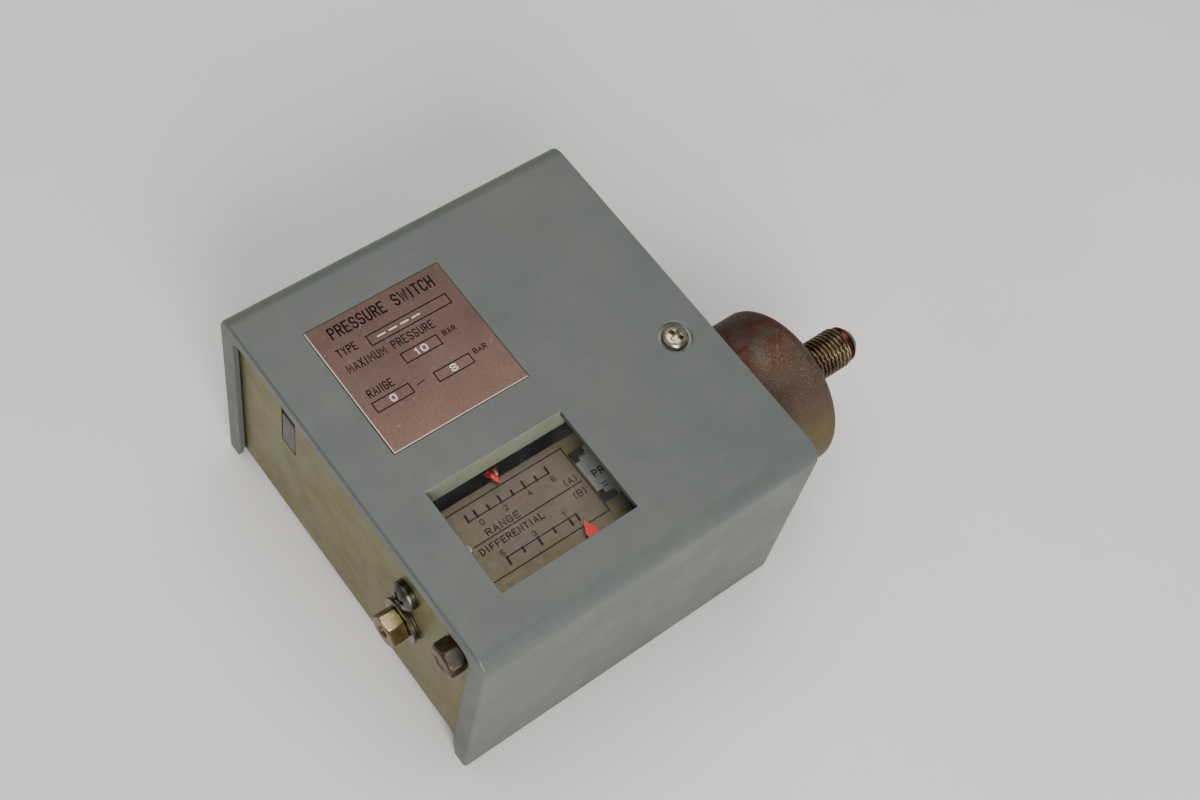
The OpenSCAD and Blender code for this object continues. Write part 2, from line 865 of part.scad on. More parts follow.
// Shelf that carries the scale, fixed to the end plate and to the back plate
module scale_bracket() {
    color("darkkhaki")
    difference() {
        union() {
            block([-frame_in_x + 0.05, scale_y0, scale_z - shelf_t], [shelf_x1, scale_y1, scale_z]);
            block([-frame_in_x, flange_y0, flange_z0], [-frame_in_x + flange_t, scale_y1, scale_z]);
            block([shelf_x1 - shelf_t, leg_y - leg_w / 2, floor_z],
                [shelf_x1, leg_y + leg_w / 2, scale_z]);
            block([shelf_x1 - shelf_t, leg_y - leg_w / 2, floor_z],
                [foot_rivet_x + 3, leg_y + leg_w / 2, floor_z + shelf_t]);
        }
        bar_x(-frame_in_x - cut, -frame_in_x + 3, m4_r, bracket_screw_y, bracket_screw_z);
        for (x = scale_rivet_x)
            translate([x, scale_rivet_y, scale_z - 3])
                cylinder(h = 5, r = scale_rivet_r);
        translate([foot_rivet_x, leg_y, 0])
            cylinder(h = 6, r = rivet_r);
    }
}

// Screw through the end plate into the scale bracket
module bracket_screw() {
    color("dimgray")
    translate([-frame_x, bracket_screw_y, bracket_screw_z])
        rotate([0, -90, 0])
            pan_screw(bracket_head_r, bracket_head_h, m4_r, 6);
}

// Rivet through the scale bracket's foot
module foot_rivet() {
    color("silver")
    floor_rivet(foot_rivet_x, leg_y, floor_z + shelf_t);
}

// Printed scale plate
module scale_plate() {
    color("tan")
    difference() {
        block([scale_x0, scale_y0, scale_z], [scale_x1, scale_y1, scale_z + scale_t]);
        translate([scale_rivet_x[0], scale_rivet_y, scale_z - cut])
            cylinder(h = 3, r = scale_rivet_r);
    }
}

// Printed label beside the scale, with two notched corners
module label_plate() {
    x0 = scale_x1 + 0.2;
    color("lightsteelblue")
    difference() {
        block([x0, label_y0, scale_z], [shelf_x1 - 0.5, label_y1, scale_z + scale_t]);
        block([x0 - cut, label_y0 - cut, scale_z - cut],
            [x0 + notch_l, label_y0 + notch_w - 0.4, scale_z + 2]);
        block([x0 - cut, label_y1 - notch_w, scale_z - cut],
            [x0 + notch_l, label_y1 + cut, scale_z + 2]);
        translate([scale_rivet_x[1], scale_rivet_y, scale_z - cut])
            cylinder(h = 3, r = scale_rivet_r);
    }
}

// Two small rivets through the scale and the label
module scale_rivets() {
    color("silver")
    for (x = scale_rivet_x)
        translate([x, scale_rivet_y, scale_z - shelf_t - 0.4]) {
            cylinder(h = shelf_t + scale_t + 0.8, r = scale_rivet_r);
            cylinder(h = 0.4, r = 1.4);
            translate([0, 0, shelf_t + scale_t + 0.4])
                cylinder(h = 0.4, r = 1.4);
        }
}

// Raised bracket under the switch, riveted through its foot
module switch_bracket() {
    color("darkkhaki")
    difference() {
        union() {
            block([case_x0, case_y0, case_z0 - sheet_t], [case_x1 - 1, case_y1, case_z0]);
            block([case_x0, case_y1 - sheet_t, floor_z], [case_x1 - 1, case_y1, case_z0]);
            block([case_x0, case_y1 - sheet_t, floor_z],
                [case_x1 - 1, case_y1 + 8, floor_z + sheet_t]);
            for (x = switch_foot_x)
                translate([x, switch_foot_y, frame_z])
                    cylinder(h = sheet_t * 2 + 1, r = rivet_r);
        }
        for (y = switch_screw_y)
            translate([switch_screw_x, y, case_z0 - 4])
                cylinder(h = 6, r = switch_screw_r);
    }
}

// Moulded switch case with its terminal ledge, open at the top
module switch_case() {
    color("dimgray")
    difference() {
        union() {
            block([case_x0, case_y0, case_z0], [case_x1, case_y1, case_z1]);
            block([ledge_x0, case_y0, case_z1 - 12], [case_x0, case_y1, strip_z]);
            for (y = switch_screw_y)
                block([ledge_x0, y - 0.5, strip_z], [case_x0, y + 0.5, case_z1]);
        }
        block([cavity_x0, case_y0 + case_t, case_z0 + case_t],
            [case_x1 - case_t, case_y1 - case_t, case_z1 + cut]);
        for (y = strip_y)
            block([case_x0 - cut, y - strip_w / 2 - 0.1, strip_z],
                [cavity_x0 + cut, y + strip_w / 2 + 0.1, case_z1 + cut]);
        bar_x(case_x1 - 4, case_x1 + cut, plunger_r + run, plunger_y);
        for (y = switch_screw_y)
            translate([switch_screw_x, y, case_z0 - cut])
                cylinder(h = 30, r = switch_screw_r);
        for (y = strip_y)
            translate([terminal_screw_x, y, strip_z - 6])
                cylinder(h = 8, r = 1.2);
    }
}

// Lid of the switch case
module switch_lid() {
    color("dimgray")
    difference() {
        block([case_x0, case_y0, case_z1], [case_x1, case_y1, case_z1 + lid_t]);
        for (y = switch_screw_y)
            translate([switch_screw_x, y, case_z1 - cut])
                cylinder(h = 5, r = switch_screw_r);
    }
}

// Button that the lever presses
module switch_plunger() {
    color("firebrick")
    union() {
        bar_x(case_x1 - 3.4, lever_x0 - 0.1, plunger_r, plunger_y);
        bar_x(blade_x + blade_t + plunger_gap, case_x1 - 3.4, plunger_tip_r, plunger_y);
    }
}

// Spring blade that carries the moving contact
module contact_blade() {
    color("peru")
    union() {
        block([blade_x, blade_y0, axis_z - 3.5], [blade_x + blade_t, blade_y1, axis_z + 3.5]);
        translate([blade_x + blade_t / 2, blade_y0, axis_z - 3.5])
            cylinder(h = 7, r = 0.3);
    }
}

// Three terminal strips, two of them with a fixed contact
module terminals() {
    color("goldenrod")
    union() {
        for (i = [0 : 2])
            difference() {
                block([strip_x0, strip_y[i] - strip_w / 2, strip_z],
                    [strip_x1[i], strip_y[i] + strip_w / 2, strip_z + strip_t]);
                translate([terminal_screw_x, strip_y[i], strip_z - cut])
                    cylinder(h = 4, r = 1.2);
            }
        block([24.6, strip_y[1], strip_z], [25.8, 12.7, strip_z + strip_t]);
        block([24.6, 10.8, axis_z - 2], [25.8, 12.7, strip_z + strip_t]);
        block([20.2, 10.8, axis_z - 2], [21.4, 12.7, strip_z + strip_t]);
        block([24.8, -0.9, axis_z - 3.5], [26, 0.9, strip_z + strip_t]);
        block([24.4, -0.5, strip_z], [26, 0.9, strip_z + strip_t]);
    }
}

// Three terminal screws
module terminal_screws() {
    color("silver")
    for (y = strip_y)
        translate([terminal_screw_x, y, strip_z + strip_t])
            pan_screw(1.9, 1.6, 1.2, 5);
}

// Two screws that hold the switch on its bracket
module switch_screws() {
    color("silver")
    for (y = switch_screw_y)
        translate([switch_screw_x, y, case_z1 + lid_t])
            pan_screw(2.2, 1.6, switch_screw_r, 22);
}

// Rubber grommet in the cable hole
module cable_grommet() {
    color("black")
    on_axis(frame_in_x - 2, cable_y)
        rotate_extrude()
            difference() {
                translate([cable_r, 0])
                    square([cable_hole_r + 2.5 - cable_r, 6]);
                translate([cable_hole_r, 2])
                    square([4, sheet_t]);
            }
}

// Earth screw on the back plate
module earth_screw() {
    color("silver")
    translate([earth_x, earth_y, floor_z + 0.8])
        pan_screw(3.8, 2.5, m4_r, 2.4);
}

// Wide washer under the earth screw
module earth_washer() {
    color("gold")
    translate([earth_x, earth_y, floor_z])
        difference() {
            cylinder(h = 0.8, r = 4.8);
            translate([0, 0, -cut])
                cylinder(h = 4, r = m4_r);
        }
}

chassis();
end_plate();
plate_rivets();
cover();
window_pane();
nameplate();
cover_screw();
bellows_cup();
flare_fitting();
bellows();
bellows_cap();
push_rod();
spring_seat();
cup_rivets();
main_lever();
pivot_bracket();
pivot_pin();
bracket_rivets();
range_screw();
range_washer();
range_clip();
range_nut();
range_pointer();
range_spring();
differential_screw();
differential_clip();
differential_nut();
differential_pointer();
differential_spring();
scale_bracket();
bracket_screw();
foot_rivet();
scale_plate();
label_plate();
scale_rivets();
switch_bracket();
switch_case();
switch_lid();
switch_plunger();
contact_blade();
terminals();
terminal_screws();
switch_screws();
cable_grommet();
earth_screw();
earth_washer();
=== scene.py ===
"""Looks of a bellows-type pressure switch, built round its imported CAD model.

Lengths in the helpers are in millimetres, turned into metres where a mesh is made.
"""

import json
import math

import bmesh
import bpy
from mathutils import Matrix, Vector


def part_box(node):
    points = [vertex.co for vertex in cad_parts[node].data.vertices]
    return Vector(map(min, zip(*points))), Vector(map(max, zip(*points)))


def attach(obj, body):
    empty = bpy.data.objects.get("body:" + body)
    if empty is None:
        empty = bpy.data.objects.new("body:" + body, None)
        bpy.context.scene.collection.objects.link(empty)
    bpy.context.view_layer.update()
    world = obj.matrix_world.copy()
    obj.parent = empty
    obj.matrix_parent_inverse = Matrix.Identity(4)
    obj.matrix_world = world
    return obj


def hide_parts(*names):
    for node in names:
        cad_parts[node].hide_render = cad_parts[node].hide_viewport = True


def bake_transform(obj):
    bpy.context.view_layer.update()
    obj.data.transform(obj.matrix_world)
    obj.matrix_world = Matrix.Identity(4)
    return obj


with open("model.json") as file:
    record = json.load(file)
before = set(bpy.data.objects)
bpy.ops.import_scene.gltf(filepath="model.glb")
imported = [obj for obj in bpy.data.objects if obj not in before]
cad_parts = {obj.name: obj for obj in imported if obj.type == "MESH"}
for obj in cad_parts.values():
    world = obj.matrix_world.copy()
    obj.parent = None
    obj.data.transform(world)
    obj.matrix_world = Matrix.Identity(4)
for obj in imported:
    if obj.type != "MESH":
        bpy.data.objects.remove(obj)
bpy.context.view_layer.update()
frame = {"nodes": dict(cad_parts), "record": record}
NODES = frame["nodes"]
BODY_OF = {node: body for body, nodes in frame["record"]["behaviour"]["bodies"].items()
           for node in nodes}
MM = 0.001


def span(node):
    """Lowest and highest corner of a CAD node, in millimetres."""
    low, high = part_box(node)
    return low / MM, high / MM


# Sizes that come from the CAD nodes, in millimetres
COVER_LOW, COVER_HIGH = span("cover")
FACE_Z = COVER_HIGH.z
RANGE_AXIS = ((span("range_washer")[0] + span("range_washer")[1]) / 2).yz
DIFF_AXIS = ((span("differential_clip")[0] + span("differential_clip")[1]) / 2).yz

# Standard sizes that the CAD model shares, in millimetres
SCREW_R = 3.0
HEX_FLATS = 8.0
HEX_LENGTH = 4.5
THREAD_PITCH = 1.0
FLARE_PITCH = 1.27
FLARE_THREAD_R = 5.556
PRESSURE_BORE_R = 2.4
COVER_EDGE_R = 5.0
# How far printing is sunk into its plate
PRINT_SINK = 0.005


# ---------------------------------------------------------------- colours and materials
def tone(red, green, blue):
    """A display colour, 0 to 255, as linear red, green and blue."""
    def linear(v):
        v /= 255
        return v / 12.92 if v <= 0.04045 else ((v + 0.055) / 1.055) ** 2.4
    return (linear(red), linear(green), linear(blue), 1.0)


class Paint:
    """One procedural material: a Principled shader and the nodes that feed it."""

    def __init__(self, name, **sockets):
        self.material = bpy.data.materials.new(name)
        self.material.use_nodes = True
        self.tree = self.material.node_tree
        self.shader = self.tree.nodes["Principled BSDF"]
        for socket, value in sockets.items():
            self.shader.inputs[socket.replace("_", " ")].default_value = value
        self.place = self.tree.nodes.new("ShaderNodeTexCoord").outputs["Object"]

    def node(self, kind, settings=None, **inputs):
        made = self.tree.nodes.new(kind)
        for name, value in (settings or {}).items():
            setattr(made, name, value)
        for name, value in inputs.items():
            self.feed(made.inputs[name.replace("_", " ")], value)
        return made

    def feed(self, socket, value):
        if isinstance(value, bpy.types.NodeSocket):
            self.tree.links.new(value, socket)
        else:
            socket.default_value = value

    def noise(self, size_mm, detail=3.0, rough=0.55, stretch=(1, 1, 1), offset=(0, 0, 0)):
        """Noise whose blobs are about size_mm across, 0 to 1."""
        mapped = self.node("ShaderNodeMapping", Vector=self.place, Scale=stretch, Location=offset)
        made = self.node("ShaderNodeTexNoise", Vector=mapped.outputs[0], Scale=1 / (size_mm * MM),
                         Detail=detail, Roughness=rough)
        return made.outputs["Fac"]

    def cells(self, size_mm, randomness=1.0):
        made = self.node("ShaderNodeTexVoronoi", Vector=self.place, Scale=1 / (size_mm * MM),
                         Randomness=randomness)
        return made.outputs["Distance"]

    def ramp(self, value, *stops):
        """Colours by value: stops are (position, colour)."""
        made = self.node("ShaderNodeValToRGB", Fac=value)
        points = made.color_ramp.elements
        while len(points) < len(stops):
            points.new(0.5)
        for point, (position, colour) in zip(points, stops):
            point.position = position
            point.color = colour
        return made.outputs["Color"]

    def level(self, value, low, high, out_low=0.0, out_high=1.0):
        made = self.node("ShaderNodeMapRange", Value=value)
        limits = (("From Min", low), ("From Max", high), ("To Min", out_low), ("To Max", out_high))
        for name, number in limits:
            made.inputs[name].default_value = number
        return made.outputs["Result"]

    def mix(self, factor, a, b, mode="MIX"):
        made = self.node("ShaderNodeMix", {"data_type": "RGBA", "blend_type": mode})
        self.feed(made.inputs[0], factor)
        self.feed(made.inputs[6], a)
        self.feed(made.inputs[7], b)
        return made.outputs[2]

    def math(self, operation, a, b=0.0):
        made = self.node("ShaderNodeMath", {"operation": operation})
        self.feed(made.inputs[0], a)
        self.feed(made.inputs[1], b)
        return made.outputs[0]

    def position(self, axis):
        """The surface's own coordinate along X, Y or Z, in millimetres."""
        parts = self.node("ShaderNodeSeparateXYZ", Vector=self.place)
        return self.math("MULTIPLY", parts.outputs[axis], 1 / MM)

    def colour(self, value):
        self.feed(self.shader.inputs["Base Color"], value)

    def rough(self, value):
        self.feed(self.shader.inputs["Roughness"], value)

    def bump(self, height, depth_mm, strength=1.0):
        made = self.node("ShaderNodeBump", Height=height, Distance=depth_mm * MM, Strength=strength)
        last = self.shader.inputs["Normal"]
        if last.links:
            self.tree.links.new(last.links[0].from_socket, made.inputs["Normal"])
        self.tree.links.new(made.outputs[0], last)


def cover_paint():
    p = Paint("cover_grey", Specular_IOR_Level=0.45)
    cloud = p.noise(38, 4, 0.6)
    grain = p.noise(1.2, 3, 0.6)
    base = p.ramp(cloud, (0.30, tone(74, 80, 78)), (0.72, tone(81, 86, 83)))
    base = p.mix(p.level(grain, 0.35, 0.65, 0.0, 0.14), base, tone(64, 69, 68))
    smear = p.noise(9, 5, 0.65, stretch=(0.35, 1.6, 1.0), offset=(0.4, 0.1, 0))
    base = p.mix(p.level(smear, 0.62, 0.80, 0.0, 0.22), base, tone(108, 112, 108))
    hair = p.noise(1.1, 2, 0.5, stretch=(0.05, 1.0, 1.0), offset=(0.2, 0.7, 0.3))
    hair2 = p.noise(1.3, 2, 0.5, stretch=(1.0, 0.06, 0.3), offset=(0.9, 0.2, 0.5))
    scratches = p.math("MAXIMUM", p.level(hair, 0.72, 0.76), p.level(hair2, 0.73, 0.77))
    scratches = p.math("MULTIPLY", scratches, p.level(p.noise(22, 2), 0.45, 0.62))
    base = p.mix(p.math("MULTIPLY", scratches, 0.16), base, tone(124, 128, 123))
    # Darker and browner towards the floor, broken up by noise.
    near_floor_darkening = p.level(p.position("Z"), 0.0, 9.0, 0.35, 0.0)
    near_floor_darkening = p.math("MULTIPLY", near_floor_darkening, p.level(p.noise(5, 4, 0.7), 0.35, 0.7))
    base = p.mix(near_floor_darkening, base, tone(66, 62, 50))
    p.colour(base)
    gloss = p.level(p.noise(14, 5, 0.65), 0.3, 0.7, 0.40, 0.56)
    p.rough(p.math("ADD", gloss, p.math("MULTIPLY", scratches, 0.12)))
    p.bump(p.noise(0.55, 2, 0.5), 0.012, 0.5)
    p.bump(p.noise(26, 2, 0.4), 0.10, 0.35)
    p.bump(scratches, -0.01, 0.5)
    return p.material


def zinc_paint():
    p = Paint("yellow_zinc", Metallic=0.72)
    patches = p.noise(9, 4, 0.62)
    fine = p.noise(1.4, 4, 0.65)
    tint = p.noise(17, 3, 0.55, offset=(0.3, 0.8, 0.1))
    base = p.ramp(patches, (0.28, tone(105, 99, 67)), (0.50, tone(112, 104, 65)),
                  (0.74, tone(108, 97, 67)))
    base = p.mix(p.level(tint, 0.42, 0.66, 0.0, 0.35), base, tone(101, 110, 78))
    base = p.mix(p.level(fine, 0.5, 0.75, 0.0, 0.45), base, tone(72, 62, 36))
    stain = p.noise(4.2, 5, 0.7, stretch=(1, 1, 0.45), offset=(0.6, 0.4, 0.9))
    base = p.mix(p.level(stain, 0.60, 0.70, 0.0, 0.3), base, tone(74, 56, 34))
    base = p.mix(p.level(p.noise(0.42, 4, 0.8), 0.57, 0.66, 0.0, 0.5), base, tone(58, 50, 32))
    spots = p.level(p.cells(2.6), 0.12, 0.05)
    spots = p.math("MULTIPLY", spots, p.level(p.noise(8, 2), 0.5, 0.62))
    base = p.mix(p.math("MULTIPLY", spots, 0.7), base, tone(80, 60, 40))
    p.colour(base)
    p.rough(p.level(patches, 0.3, 0.7, 0.40, 0.54))
    p.bump(p.noise(0.7, 3, 0.6), 0.012, 0.5)
    p.bump(spots, -0.02, 0.5)
    return p.material


def cup_paint():
    """Dull plated steel: painted shade darkens its +Y side, rusty above the middle, speckled and
    olive below.
    """
    p = Paint("cup_plating", Metallic=0.5, Specular_IOR_Level=0.15,
              Specular_Tint=(0.35, 0.31, 0.28, 1))
    y = p.position("Y")
    cloud = p.noise(10, 4, 0.65)
    base = p.ramp(cloud, (0.30, tone(78, 68, 58)), (0.55, tone(92, 82, 71)),
                  (0.78, tone(86, 69, 57)))
    rust = p.math("MULTIPLY", p.level(p.noise(7, 5, 0.7, offset=(0.2, 0.9, 0.4)), 0.43, 0.58),
                  p.level(y, -29, -17, 0.10, 0.92))
    base = p.mix(rust, base, tone(88, 42, 30))
    # Painted shade: the +Y side turns dark brown.
    base = p.mix(p.level(y, -18, -5, 0.0, 0.85), base, tone(40, 31, 27))
    base = p.mix(p.level(y, -36, -43, 0.0, 0.65), base, tone(100, 96, 68))
    lower = p.math("MULTIPLY", p.level(y, -12, -24, 0.10, 1.0), p.level(y, -40, -34, 0.35, 1.0))
    uneven = p.level(p.noise(6, 3, 0.6, offset=(0.8, 0.3, 0.1)), 0.35, 0.6, 0.45, 1.0)
    lower = p.math("MULTIPLY", lower, uneven)
    dark_specks = p.level(p.noise(0.6, 4, 0.8), 0.50, 0.58)
    dark = p.math("MULTIPLY", p.math("MULTIPLY", dark_specks, lower), 0.7)
    base = p.mix(dark, base, tone(44, 35, 29))
    light_specks = p.level(p.noise(0.5, 3, 0.7, offset=(0.5, 0.5, 0.5)), 0.58, 0.68)
    light = p.math("MULTIPLY", p.math("MULTIPLY", light_specks, lower), 0.55)
    base = p.mix(light, base, tone(150, 142, 126))
    p.colour(base)
    p.rough(p.level(dark_specks, 0.0, 1.0, 0.34, 0.60))
    p.bump(p.noise(0.6, 4, 0.75), 0.03, 0.6)
    p.bump(p.noise(5, 2, 0.5), 0.05, 0.3)
    return p.material


def metal_paint(name, light, dark, rough=0.3, grain_mm=0.5, metallic=1.0, stain=None,
                bump=0.01, brushed=None):
    """Bare or plated metal with cloudy tone, fine grain and, where given, stains (on the red
    pointer, painted glints) or brush lines.
    """
    p = Paint(name, Metallic=metallic)
    cloud = p.noise(grain_mm * 7, 4, 0.6)
    grain = p.noise(grain_mm, 4, 0.7)
    base = p.ramp(cloud, (0.3, dark), (0.7, light))
    base = p.mix(p.level(grain, 0.45, 0.7, 0.0, 0.35), base, dark)
    # A second colour in patches: real stains, and on the red pointer painted glints.
    if stain:
        mark = p.level(p.noise(grain_mm * 4, 5, 0.7, offset=(0.3, 0.6, 0.9)), 0.54, 0.66, 0.0, 0.7)
        base = p.mix(mark, base, stain)
    p.colour(base)
    p.rough(p.level(grain, 0.3, 0.7, rough * 0.8, min(1.0, rough * 1.35)))
    if brushed:
        lines = p.noise(0.12, 2, 0.5, stretch=brushed)
        p.bump(lines, 0.006, 0.5)
    p.bump(grain, bump, 0.6)
    return p.material


def nameplate_paint():
    p = Paint("nameplate_painted_reflection", Metallic=0.78)
    low = span("nameplate")[0]
    cloud = p.noise(16, 4, 0.6)
    grain = p.noise(0.35, 4, 0.8)
    # The rose-brown base is a painted reflection of warm surroundings on the bare aluminium.
    base = p.ramp(cloud, (0.3, tone(76, 59, 53)), (0.7, tone(90, 71, 64)))
    # Painted sheen: lighter towards the plate's low-Y edge.
    base = p.mix(p.level(p.position("Y"), low.y + 22, low.y, 0.0, 0.5), base, tone(112, 88, 80))
    base = p.mix(p.level(grain, 0.45, 0.68, 0.0, 0.4), base, tone(66, 50, 45))
    # Lighter mottling, partly painted glints.
    spots = p.level(p.noise(2.2, 5, 0.75, offset=(0.7, 0.1, 0.2)), 0.62, 0.72, 0.0, 0.35)
    base = p.mix(spots, base, tone(150, 130, 122))
    # Painted highlight: a light line along the plate's left and low edges.
    left_edge_highlight = p.level(p.position("X"), low.x + 0.15, low.x + 0.32, 1.0, 0.0)
    low_edge_highlight = p.level(p.position("Y"), low.y + 0.15, low.y + 0.32, 1.0, 0.0)
    edge = p.math("MAXIMUM", left_edge_highlight, low_edge_highlight)
    base = p.mix(edge, base, tone(186, 168, 160))
    p.colour(base)
    p.rough(p.level(grain, 0.3, 0.7, 0.34, 0.5))
    p.bump(p.noise(0.10, 2, 0.5, stretch=(0.05, 1.0, 1.0)), 0.004, 0.4)
    p.bump(grain, 0.006, 0.5)
    return p.material


def plastic_paint(name, light, dark, rough=0.45, grain_mm=0.4, coat=0.0):
    p = Paint(name, Coat_Weight=coat)
    base = p.ramp(p.noise(6, 4, 0.6), (0.3, dark), (0.7, light))
    dust = p.level(p.noise(1.8, 5, 0.75), 0.56, 0.74, 0.0, 0.25)
    base = p.mix(dust, base, tone(150, 145, 135))
    p.colour(base)
    p.rough(p.level(p.noise(2.5, 4, 0.6), 0.3, 0.7, rough * 0.85, min(1.0, rough * 1.25)))
    p.bump(p.noise(grain_mm, 3, 0.6), 0.012, 0.6)
    return p.material


def ink_paint(name, colour, rough=0.7):
    p = Paint(name, Specular_IOR_Level=0.06)
    worn = tuple(min(1.0, c * 1.6) for c in colour[:3]) + (1,)
    p.colour(p.ramp(p.noise(0.6, 3, 0.7), (0.35, colour), (0.8, worn)))
    p.rough(p.level(p.noise(0.4, 2), 0.3, 0.7, rough * 0.8, rough * 1.2))
    p.bump(p.noise(0.2, 2), 0.003, 0.5)
    return p.material


def scale_paint():
    """Printed plate whose yellow-green edge band lies outside the printed border."""
    p = Paint("scale_print", Metallic=0.5)
    base = p.ramp(p.noise(12, 4, 0.6), (0.3, tone(78, 68, 56)), (0.7, tone(88, 77, 63)))
    base = p.mix(p.level(p.position("X"), -24, -38, 0.0, 0.7), base, tone(86, 80, 48))
    base = p.mix(p.level(p.position("Y"), -30, -37, 0.0, 0.5), base, tone(94, 86, 54))
    base = p.mix(p.level(p.noise(0.5, 4, 0.75), 0.5, 0.72, 0.0, 0.35), base, tone(72, 62, 50))
    rust = p.level(p.noise(3.0, 4, 0.7, offset=(0.1, 0.4, 0.6)), 0.60, 0.70, 0.0, 0.35)
    base = p.mix(rust, base, tone(120, 80, 44))
    p.colour(base)
    p.rough(p.level(p.noise(1.1, 3), 0.3, 0.7, 0.42, 0.58))
    p.bump(p.noise(0.4, 3, 0.6), 0.005, 0.5)
    return p.material


def glass_paint():
    p = Paint("clear_pane", Roughness=0.06, Specular_IOR_Level=0.7)
    haze = p.level(p.noise(9, 5, 0.7), 0.40, 0.72, 0.006, 0.022)
    p.feed(p.shader.inputs["Alpha"], haze)
    p.colour(p.ramp(p.noise(3, 3), (0.3, tone(190, 196, 190)), (0.7, tone(214, 218, 210))))
    p.rough(p.level(p.noise(4, 4, 0.7), 0.3, 0.7, 0.04, 0.14))
    p.bump(p.noise(18, 2), 0.02, 0.2)
    return p.material


PAINTS = {
    "cover": cover_paint(),
    "zinc": zinc_paint(),
    "cup": cup_paint(),
    "nameplate": nameplate_paint(),
    "scale": scale_paint(),
    "glass": glass_paint(),
    "steel": metal_paint("bright_steel", tone(206, 204, 198), tone(150, 148, 142), 0.24, 0.6,
                         stain=tone(120, 108, 90)),
    "cover_screw": metal_paint("plated_screw", tone(186, 180, 160), tone(112, 104, 84), 0.26, 0.4,
                               stain=tone(70, 58, 40)),
    "rivet": metal_paint("rivet_steel", tone(190, 186, 176), tone(128, 122, 108), 0.34, 0.5),
    "oily": metal_paint("oily_steel", tone(106, 104, 96), tone(54, 51, 47), 0.30, 0.45, bump=0.03),
    "range_hex": metal_paint("range_brass", tone(134, 116, 80), tone(88, 72, 48), 0.32, 0.35,
                             stain=tone(70, 50, 30), bump=0.02),
    # Painted highlight: bright brass for the range hexagon's top flat and the fitting's collar.
    "brass_highlight": metal_paint("brass_painted_highlight", tone(236, 228, 178), tone(172, 158, 106),
                              0.34, 0.3, stain=tone(150, 132, 84), bump=0.02),
    "diff_hex": metal_paint("tarnished_bronze", tone(112, 97, 80), tone(70, 59, 48), 0.40, 0.5,
                            stain=tone(34, 26, 20), bump=0.025),
    "diff_flat": metal_paint("tarnished_flat", tone(122, 116, 106), tone(82, 76, 68), 0.34, 0.4,
                             stain=tone(60, 50, 42), bump=0.025),
    "flare": metal_paint("flare_metal", tone(146, 132, 108), tone(72, 58, 44), 0.34, 0.6,
                         stain=tone(62, 42, 32), bump=0.008),
    "nose": metal_paint("flare_nose", tone(84, 44, 34), tone(40, 23, 19), 0.26, 0.6,
                        stain=tone(30, 18, 16), bump=0.02),
    "washer": metal_paint("washer_steel", tone(128, 124, 110), tone(62, 56, 46), 0.28, 0.5,
                          stain=tone(66, 54, 40)),
    "bronze": metal_paint("bellows_bronze", tone(214, 176, 116), tone(150, 112, 64), 0.26, 0.8),
    "copper": metal_paint("contact_copper", tone(208, 142, 100), tone(150, 92, 60), 0.28, 0.5),
    "strip": metal_paint("terminal_brass", tone(214, 190, 124), tone(156, 130, 76), 0.28, 0.5,
                         brushed=(0.06, 1, 1)),
    "spring": metal_paint("spring_wire", tone(150, 148, 142), tone(92, 88, 80), 0.30, 0.4),
    "label": metal_paint("label_plate", tone(134, 140, 136), tone(112, 117, 112), 0.42, 0.6,
                         metallic=0.5),
    "black": plastic_paint("black_moulding", tone(44, 43, 41), tone(26, 25, 24), 0.42),
    "brown": plastic_paint("brown_moulding", tone(92, 58, 38), tone(60, 36, 24), 0.38),
    "rubber": plastic_paint("black_rubber", tone(40, 40, 40), tone(22, 22, 22), 0.62, 0.25),
    "plunger": plastic_paint("plunger_red", tone(176, 42, 30), tone(130, 26, 20), 0.3, coat=0.3),
    "ink": ink_paint("black_ink", tone(16, 12, 12)),
    "scale_ink": ink_paint("scale_ink", tone(22, 17, 14)),
    "stamped": ink_paint("stamped_figures", tone(198, 186, 178)),
    # Painted shade: a darker copy of the cover grey for the tongue in the slot.
    "tongue": plastic_paint("tongue_grey_painted_shade", tone(84, 79, 82), tone(70, 66, 68), 0.5),
    # Painted light: a lighter copy of the cover grey for the screw's recess.
    "screw_seat_painted_light": plastic_paint("screw_seat_painted_light_grey", tone(128, 134, 130), tone(112, 118, 114), 0.5),
    # Painted light: a lighter copy of the cover grey for the rib under the window.
    "rib_painted_light": plastic_paint("window_rib_painted_light", tone(140, 147, 128), tone(124, 130, 112), 0.4),
    "red": plastic_paint("pointer_red", tone(232, 40, 14), tone(206, 24, 6), 0.62),
    # The pointer's light stain colour is painted silver glints.
    "red_metal": metal_paint("pointer_metal", tone(176, 40, 32), tone(92, 14, 12), 0.22, 0.4,
                             stain=tone(190, 180, 170)),
}


# ---------------------------------------------------------------- mesh helpers
def object_of(name, bm, material, smooth=True):
    """An object from a bmesh drawn in millimetres."""
    bmesh.ops.scale(bm, vec=(MM, MM, MM), verts=bm.verts)
    bmesh.ops.recalc_face_normals(bm, faces=bm.faces)
    mesh = bpy.data.meshes.new(name)
    bm.to_mesh(mesh)
    bm.free()
    return dressed(name, mesh, material, smooth)


def dressed(name, mesh, material, smooth=True):
    mesh.name = name
    mesh.materials.clear()
    mesh.materials.append(PAINTS[material])
    mesh.polygons.foreach_set("use_smooth", [smooth] * len(mesh.polygons))
    made = bpy.data.objects.new(name, mesh)
    bpy.context.scene.collection.objects.link(made)
    return made


def crease(obj, degrees=35):
    """Shades flat across edges that are sharper than an angle."""
    obj.data.set_sharp_from_angle(angle=math.radians(degrees))
    return obj


